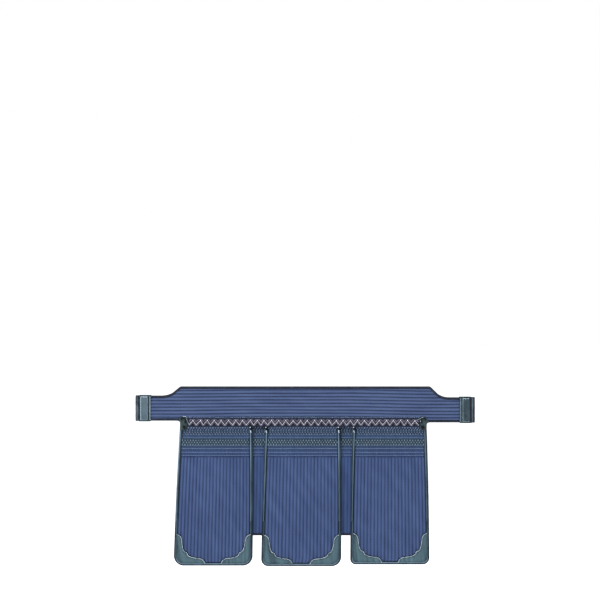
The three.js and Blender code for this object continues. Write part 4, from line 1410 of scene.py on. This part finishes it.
def make_belt_stitches(belt_front):
    """Quilting stitches along the belt's channels, and small dashes above the lacing."""
    low, high = BELT_LOW[0] + 26, BELT_HIGH[0] - 26
    shapes = []
    for ridge in range(1, BELT_RIDGES + 1):
        x = np.arange(low, high, BELT_STITCH_PITCH)
        z = BELT_TOP - ridge_sag(x) - ridge * RIDGE_PITCH
        inside = belt_top_line(x, BINDING + 4) > z
        x, z = x[inside], z[inside]
        centres = np.stack([x, belt_front(x, z) - 0.05, z], axis=1)
        shapes.append(stitches(centres, (1, 0, 0), length=4.4, width=1.7))
    add_threads("belt_quilting", shapes, THREAD_INDIGO, "indigo_cloth")
    paints = {
        "pale": THREAD_SKY, "dark": THREAD_INDIGO, "sky": THREAD_SKY, "navy": THREAD_INDIGO,
    }
    draw = np.random.default_rng(21)
    for kind, pitch, shift, down in STRIP_DASHES:
        x = np.arange(ROW_LEFT + 16, ROW_RIGHT - 16, pitch)
        x = x + shift + draw.normal(0, 0.5, len(x))
        z = STRIP_TOP - down + draw.normal(0, 0.45, len(x))
        centres = np.stack([x, belt_front(x, z) - 0.25, z], axis=1)
        along = [1.2, 0, 1.2] + draw.normal(0, 0.6, (len(x), 3)) * [1, 0, 1]
        shapes = [stitches(centres, along, length=2.4, width=1.6)]
        add_threads(f"belt_lower_row_{kind}", shapes, paints[kind], "indigo_cloth")


# Lacing over the seam of belt and flaps

def lacing_corners():
    """x and z of the lacing's corners, valley and peak in turn, a little uneven by hand."""
    draw = np.random.default_rng(77)
    x = np.linspace(*LACING_ENDS, LACING_LEGS + 1)
    x[1:-1] += draw.normal(0, 0.5, LACING_LEGS - 1)
    sign = np.where(np.arange(LACING_LEGS + 1) % 2 == 0, -1.0, 1.0)
    z = LACING_MIDDLE + sign * LACING_REACH / 2 + draw.normal(0, 0.3, LACING_LEGS + 1)
    return x, z


def laid_thread(x, z, shift, y, low, high):
    """A thread along the lacing's corners, shifted up and held between two heights.

    Between corners it bows forward a little, as a laid thread does.
    """
    steps = np.linspace(0, len(x) - 1, (len(x) - 1) * 5 + 1)
    at_x = np.interp(steps, np.arange(len(x)), x)
    at_z = np.clip(np.interp(steps, np.arange(len(x)), z) + shift, low, high)
    return np.stack([at_x, y - 0.35 * np.abs(np.sin(math.pi * steps)), at_z], axis=1)


def make_join_band():
    """The dark band over the seam: a low arch from edge to edge, a little uneven."""
    low, high = box_mm("join_band")
    shares = np.linspace(0, 1, 14)
    x, z = np.meshgrid(np.linspace(low[0], high[0], 260), high[2] + (low[2] - high[2]) * shares)
    arch = np.sin(math.pi * shares)[:, None] ** 0.5
    ripple = wander(x / 120, z / 20, seed=5) * 0.15
    front = np.dstack([x, high[1] - 0.4 - 0.7 * arch - ripple, z])
    back = np.dstack([x, np.full_like(x, high[1] - 0.02), z])
    add_slab("join_band_cloth", front, back, CLOTH_BAND, "lacing_ground", "join_band")
    make_lacing(high[1] - 1.3, low[2] + 1.0, high[2] - 0.9)


def make_lacing(face, floor, ceiling):
    """White zigzag lacing over nested plum and mauve chevrons, on the band's face.

    Small stitches stand at its corners, and its ends run out over the shoulder leathers.
    """
    x, z = lacing_corners()
    for kind, shift, radius, proud in CHEVRONS:
        path = laid_thread(x, z, shift, face - proud, floor, ceiling)
        paint = THREAD_PLUM if kind.startswith("plum") else THREAD_MAUVE
        add_threads(f"lacing_{kind}", [cord(path, radius)], paint, "lacing_ground")
    path = laid_thread(x, z, 0.0, face - 0.55, floor, ceiling)
    white = [cord(path, radius=0.36, sides=8)]
    add_threads("lacing_white", white, THREAD_WHITE, "lacing_ground")
    lead_y = box_mm("shoulder_patch_left")[0][1] - 0.9
    for word, lead, count in (("left", LEAD_IN, 30), ("right", LEAD_OUT, 24)):
        control = np.array([(at_x, lead_y + back, at_z) for at_x, at_z, back in lead])
        shapes = [cord(smooth_path(control, count), radius=0.42)]
        add_threads(f"lacing_lead_{word}", shapes, THREAD_PALE, "lacing_ground")
    hold_y = lead_y + LEAD_IN[0][2] - 0.5
    centres = [(at_x, hold_y, at_z) for at_x, at_z, _ in HOLDING_STITCHES]
    along = [direction for _, _, direction in HOLDING_STITCHES]
    holds = [stitches(centres, along, length=3.2, width=1.5)]
    add_threads("lacing_holding_stitches", holds, THREAD_CLOUD, "lacing_ground")
    for word, first, proud, length, width, paint in (
        ("peaks", 1, 0.9, 2.3, 1.9, THREAD_KNOT), ("valleys", 0, 0.8, 1.9, 1.5, THREAD_CLOUD),
    ):
        at_x, at_z = x[first::2], z[first::2]
        centres = np.stack([at_x, np.full(len(at_x), face - proud), at_z], axis=1)
        shapes = [stitches(centres, (0, 0, 1), length, width)]
        add_threads(f"lacing_{word}", shapes, paint, "lacing_ground")


# Belt ends

def make_end_tab(word, side):
    """Leather sleeve bent round the belt's end, with a stitched panel and a raised edge band
    painted pale as a highlight.

    Its section is a rounded U seen from above, drawn from the inner edge of the front
    to the inner edge of the back, and its height bulges a little where the folds are.
    """
    node = f"end_tab_{word}"
    low, high, inner, outer = box_ends(node, side)
    length = abs(outer - inner)
    flat = np.linspace(0, length - TAB_TURN, 30)
    angle = np.linspace(0, math.pi / 2, 8)[1:]
    bend = length - TAB_TURN + TAB_TURN * np.sin(angle)
    front = low[1] + TAB_TURN * (1 - np.cos(angle))
    back = high[1] - TAB_TURN * (1 - np.cos(angle))
    end = np.linspace(front[-1], back[-1], 8)[1:-1]
    relief = tab_relief(flat, length)
    distance = np.concatenate([flat, bend, np.full(len(end), length), bend[::-1], flat[::-1]])
    y = np.concatenate([low[1] - relief, front, end, back[::-1], high[1] + relief[::-1]])
    heights = np.linspace(low[2], high[2], 40)
    bulge = 0.35 * wander(heights / 40, seed=name_seed(node))
    x = inner + side * distance[None, :] + side * bulge[:, None] * (distance[None, :] / length)
    sag = 0.5 * np.sin(math.pi * (heights - low[2]) / (high[2] - low[2]))
    y = y[None, :] - sag[:, None] * (np.arange(len(y)) < len(flat))[None, :]
    grid = np.dstack([x, y, np.broadcast_to(heights[:, None], x.shape)])
    index = np.arange(x.size).reshape(x.shape)
    faces = np.concatenate([strip_faces(*pair) for pair in zip(index, index[1:])])
    if side > 0:
        faces = faces[:, ::-1]
    # Painted light and shade across the tab from its table, made darker towards the tab's top and
    # bottom edges.
    places, pale = np.array(TAB_LIGHT_AND_SHADE[side]).T
    ends = smooth_step(np.minimum(heights - low[2], high[2] - heights), 1.0, 3.2)
    piece = add_piece(
        f"{node}_sewn", grid.reshape(-1, 3), faces.tolist(), LEATHER_TAB, "leather", [node],
        closed=False, tone=np.interp(distance, places, pale)[None, :] * ends[:, None],
    )
    wall = piece.modifiers.new("Wall", "SOLIDIFY")
    wall.thickness = TAB_WALL * MM
    wall.offset = -1.0
    make_tab_trim(node, side, inner, low, high)


def tab_relief(distance, length):
    """Height of the tab's raised edge band and panel by the distance from its inner edge."""
    band = smooth_step(distance, 0.2, 0.9) * (1 - smooth_step(distance, 3.4, 4.0))
    panel = smooth_step(distance, 5.2, 6.0)
    panel = panel * (1 - smooth_step(distance, length - 5.6, length - 4.8))
    return 0.5 * band + 0.6 * panel


def make_tab_trim(node, side, inner, low, high):
    """Pale stitch frame and dark seam threads on a tab, front and back."""
    sizes = {"frame": (2.7, 1.2), "bright_rows": (2.7, 1.2), "seams": (3.6, 2.2)}
    paints = {"frame": THREAD_PALE, "bright_rows": THREAD_CLOUD, "seams": THREAD_PLUM}
    sets = {kind: [] for kind in paints}

    def sew(kind, start, end, length, width, lift):
        """A straight row of stitches from one point to another."""
        centres, along = stitch_line(np.array([start, end]), 3.4, 2.4)
        sets[kind].append(stitches(centres, along, length, width, lift=(0, lift, 0)))

    bottom, top = low[2] + 3.4, high[2] - 3.4
    for y, lift in ((low[1] - 0.75, -1.0), (high[1] + 0.55, 1.0)):
        for distance, kind in TAB_ROWS[side]:
            x = inner + side * distance
            sew(kind, (x, y, bottom), (x, y, top), *sizes[kind], lift)
        left, right = (inner + side * distance for distance in TAB_PANEL)
        sew("frame", (left, y, bottom), (right, y, bottom), 2.9, 1.1, lift)
        sew("bright_rows", (left, y, top), (right, y, top), 2.9, 1.5, lift)
    for kind, paint in paints.items():
        add_threads(f"{node}_{kind}", sets[kind], paint, "leather")


def make_strap_fold(word, side):
    """Waist strap folded double: a rounded U seen from above, with soft woven edges."""
    node = f"strap_fold_{word}"
    low, high, inner, outer = box_ends(node, side)
    middle, half = (low[1] + high[1]) / 2, (high[1] - low[1]) / 2
    radius = half - STRAP_THICK / 2
    bend_x = outer - side * half
    angle = np.linspace(math.pi / 2, -math.pi / 2, 14)[1:-1]
    leg = np.linspace(inner, bend_x, 8)
    path = np.stack([
        np.concatenate([leg, bend_x + side * radius * np.cos(angle), leg[::-1]]),
        np.concatenate([
            np.full(len(leg), middle + radius), middle + radius * np.sin(angle),
            np.full(len(leg), middle - radius),
        ]),
    ], axis=1)
    tangent = unit(np.gradient(path, axis=0))
    heights = np.linspace(low[2], high[2], 34)
    soft = quarter_round(np.minimum(heights - low[2], high[2] - heights) * 2.2, RIM_ROUNDING)
    half_thick = STRAP_THICK / 2 * (0.45 + 0.55 * soft)
    wave = 0.35 * wander(heights / 30, seed=name_seed(node))

    def layer(sign):
        """One face of the strap: its middle line moved sideways by half its thickness."""
        shift = half_thick[:, None] * sign
        x = path[None, :, 0] + tangent[None, :, 1] * shift + side * wave[:, None] * 0.6
        y = path[None, :, 1] - tangent[None, :, 0] * shift
        return np.dstack([x, y, np.broadcast_to(heights[:, None], x.shape)])

    # Painted light and shade across the fold, darker towards its upper and lower edges.
    places, pale = np.array(STRAP_LIGHT_AND_SHADE[side]).T
    layers = layer(side), layer(-side)
    tones = []
    for grid in layers:
        from_end = np.minimum(grid[..., 2] - low[2], high[2] - grid[..., 2])
        across = np.interp(side * (grid[..., 0] - inner), places, pale)
        tones.append(across * smooth_step(from_end, 0.3, 2.6))
    add_slab(f"{node}_woven", *layers, CLOTH_STRAP, "strap_cloth", node, tone=tones)


# Leather and thongs at the seam

def shoulder_outline(z, edge_x, side, low, high):
    """Inner and outer x of a shoulder leather at heights z.

    Its inner side is straight with cut corners. Its outer side follows the flap's edge,
    runs out along a quadratic curve into the wing under the belt's end, and slopes back
    to the top.
    """
    wing_z = neck_bottom(side)
    corner = SHOULDER_PATCH / 4
    under = np.clip((wing_z - z) / SHOULDER_WING, 0, 1)
    curve = SHOULDER_WING * (1 - np.sqrt(under)) ** 2
    over = np.clip((z - wing_z) / (high - wing_z), 0, 1)
    outer = np.where(z < wing_z, curve, SHOULDER_WING - (SHOULDER_WING + corner) * over)
    cut = np.maximum(corner - (high - z), 0) + np.maximum(corner - (z - low), 0)
    return edge_x - side * (SHOULDER_PATCH - cut), edge_x + side * outer


def make_shoulder(word, side):
    """Reinforcing leather at an outer corner, with its bent thong and tied knot."""
    node = f"shoulder_patch_{word}"
    low, high, _, wing_x = box_ends(node, side)
    heights = np.linspace(high[2], low[2], 44)
    inner, outer = shoulder_outline(heights, wing_x - side * SHOULDER_WING, side, low[2], high[2])
    x = inner[:, None] + (outer - inner)[:, None] * np.linspace(0, 1, 22)[None, :]
    z = np.broadcast_to(heights[:, None], x.shape)
    from_sides = np.minimum(np.abs(x - inner[:, None]), np.abs(x - outer[:, None]))
    edge = np.minimum.reduce([from_sides, high[2] - z, z - low[2]])
    crease = wander(x / 14, z / 40, seed=name_seed(node))
    rise = quarter_round(edge, 1.6) * (0.85 + 0.3 * crease)
    front = np.dstack([x, high[1] - 0.35 - rise, z])
    back = np.dstack([x, np.full_like(x, high[1] - 0.02), z])
    # Painted shade towards the edges where the leather rounds down, and painted light where its
    # creases stand up.
    tone = 0.16 + 0.30 * smooth_step(edge, 0.3, 3.0) + 0.34 * crease
    add_slab(f"{node}_sewn", front, back, LEATHER_SHOULDER, "leather", node, tone=(tone, tone))

    thong = f"shoulder_thong_{word}"
    low, high, _, outer_x = box_ends(thong, side)
    y = (low[1] + high[1]) / 2
    margin = 1.3
    span, drop = high[0] - low[0] - 2 * margin, high[2] - low[2] - 2 * margin
    across, down = np.array(THONG_ROUTE).T
    control = np.stack([
        outer_x - side * margin - side * span * across,
        y - 0.5 * np.sin(math.pi * down),
        high[2] - margin - drop * down,
    ], axis=1)
    points, faces = cord(smooth_path(control, 60), THONG_RADIUS, sides=8)
    add_piece(f"{thong}_bent", points, faces, THONG, "thong", [thong])
    make_knot(f"shoulder_knot_{word}", SHOULDER_KNOT_RADIUS)


def make_knot(node, radius):
    """A tied thong: a closed three-leaved knot path, fitted to the node's box.

    x and z follow sin t + 2 sin 2t and cos t - 2 cos 2t, and depth follows -sin 3t.
    """
    low, high = box_mm(node)
    middle, half = (low + high) / 2, (high - low) / 2 - radius * 0.7
    t = circle(72)
    path = np.stack([
        middle[0] + half[0] * (np.sin(t) + 2 * np.sin(2 * t)) / 2.6,
        middle[1] - half[1] * np.sin(3 * t) * 0.9,
        middle[2] + half[2] * (np.cos(t) - 2 * np.cos(2 * t)) / 2.6,
    ], axis=1)
    tangent = unit(np.roll(path, -1, axis=0) - np.roll(path, 1, axis=0))
    sides = 8
    points = circles_across(path, tangent, path - middle, radius * 0.8, sides)
    faces = swept_faces(len(path), sides, loop=True)
    add_piece(f"{node}_tied", points, faces, THONG, "thong", [node])


def make_gap_threads():
    """Pale stitches beside each knot at the gaps, where the piping's thread ends."""
    shapes = []
    for word in GAP_KNOTS:
        low, high = box_mm(f"gap_knot_{word}")
        for share_x, share_z, length in KNOT_STITCHES:
            x = low[0] + share_x * (high[0] - low[0])
            z = low[2] + share_z * (high[2] - low[2])
            centre = (x, low[1] - 0.1, z)
            shapes.append(stitches([centre], (0.5, 0.0, 1.0), length, width=2.3))
    add_threads("gap_knot_threads", shapes, THREAD_CLOUD, "lacing_ground")


# Stage, light and camera

def make_stage():
    """Pale floor well below the hanging object, white surroundings and soft light."""
    reach = FLOOR_REACH
    corners = ((-reach, -reach), (reach, -reach), (reach, reach), (-reach, reach))
    points = np.array([(x, y, FLOOR_HEIGHT) for x, y in corners])
    paint = Paint("pale_floor", roughness=0.9, specular=0.2)
    mottle = paint.ramp(paint.noise(0.8, detail=2), 0.3, 0.7)
    paint.colour(paint.mix(mottle, (0.90, 0.90, 0.90), (0.93, 0.93, 0.93)))
    paint.shader.inputs["Emission Color"].default_value = (1.0, 1.0, 1.0, 1.0)
    paint.shader.inputs["Emission Strength"].default_value = FLOOR_GLOW
    floor = make_mesh("floor", points, [[0, 1, 2, 3]], paint.material, smooth=False)
    scene = bpy.context.scene
    world = bpy.data.worlds.new("studio")
    world.use_nodes = True
    scene.world = world
    nodes, links = world.node_tree.nodes, world.node_tree.links
    light = nodes["Background"]
    light.inputs["Color"].default_value = (0.93, 0.96, 1.0, 1.0)
    light.inputs["Strength"].default_value = SKY_LIGHT
    seen = nodes.new("ShaderNodeBackground")
    seen.inputs["Color"].default_value = (1.0, 1.0, 1.0, 1.0)
    seen.inputs["Strength"].default_value = 1.0
    path = nodes.new("ShaderNodeLightPath")
    mix = nodes.new("ShaderNodeMixShader")
    links.new(path.outputs["Is Camera Ray"], mix.inputs["Fac"])
    links.new(light.outputs["Background"], mix.inputs[1])
    links.new(seen.outputs["Background"], mix.inputs[2])
    links.new(mix.outputs["Shader"], nodes["World Output"].inputs["Surface"])
    for name, (place, size, power) in LAMPS.items():
        data = bpy.data.lights.new(name, "AREA")
        data.shape = "DISK"
        data.size = size
        data.energy = power
        lamp = bpy.data.objects.new(name, data)
        lamp.location = Vector(place) * MM
        aim = Vector(LAMP_TARGET) - Vector(place)
        lamp.rotation_euler = aim.to_track_quat("-Z", "Y").to_euler()
        scene.collection.objects.link(lamp)
    scene.view_settings.view_transform = "Standard"
    scene.view_settings.look = "None"


def make_camera():
    """Level camera whose axis passes through the middle of the photograph's frame."""
    data = bpy.data.cameras.new("camera")
    data.lens = LENS
    data.sensor_width = SENSOR
    camera = bpy.data.objects.new("camera", data)
    half_frame = PHOTO_SIDE / 2
    distance = PHOTO_SIDE * PIXEL * LENS / SENSOR
    camera.location = Vector((
        (half_frame - ORIGIN_PIXEL[0]) * PIXEL,
        -distance - BELT_THICK,
        (ORIGIN_PIXEL[1] - half_frame) * PIXEL,
    )) * MM
    camera.rotation_euler = (math.pi / 2, 0, 0)
    bpy.context.scene.collection.objects.link(camera)
    bpy.context.scene.camera = camera


make_camera()
make_stage()

coarse = {}
for name, flap in FLAPS.items():
    coarse[f"flap_{name}"] = coarse_flap(flap, PIPED_INSET, FRONT_THICK)
for name, flap in REAR_FLAPS.items():
    coarse[f"rear_{name}"] = coarse_flap(flap, BOUND_INSET, REAR_THICK)
coarse["belt"] = coarse_belt()
crowns = swell(coarse)

belt_front = make_belt_pad(crowns["belt"])
make_belt_bindings()
make_belt_stitches(belt_front)
make_join_band()
for name, flap in FLAPS.items():
    make_flap_pad(
        f"flap_{name}", flap, crowns[f"flap_{name}"], name_seed(name), PIPED_INSET, FRONT_THICK,
        RELIEF, FRONT_RIBS, FRONT_GRID, CLOTH_FLAP,
    )
    make_row_stitches(name, flap)
    make_rib_stitches(name, flap, PIPED_INSET, FRONT_RIBS)
    for (word, side), tones in zip(SIDES, EDGES[name]):
        make_piping(name, flap, word, side, tones)
    make_hem(name, flap)
    patches = [make_corner_patch(name, flap, word, side) for word, side in SIDES]
    make_patch_threads(name, flap, patches)
for name, flap in REAR_FLAPS.items():
    make_flap_pad(
        f"rear_flap_{name}", flap, crowns[f"rear_{name}"], name_seed(name) + 9, BOUND_INSET,
        REAR_THICK, REAR_RELIEF, REAR_RIBS, REAR_GRID, CLOTH_REAR,
    )
    before, after = (FLAPS[beside] for beside in GAPS[name])
    span = (before.side(1, before.top) - PIPING, after.side(-1, after.top) + PIPING)
    make_row_stitches(f"rear_{name}", flap, span)
    make_rear_hem(name, flap)
for word, side in SIDES:
    make_end_tab(word, side)
    make_strap_fold(word, side)
    make_shoulder(word, side)
for word in GAP_KNOTS:
    make_knot(f"gap_knot_{word}", GAP_KNOT_RADIUS)
make_gap_threads()
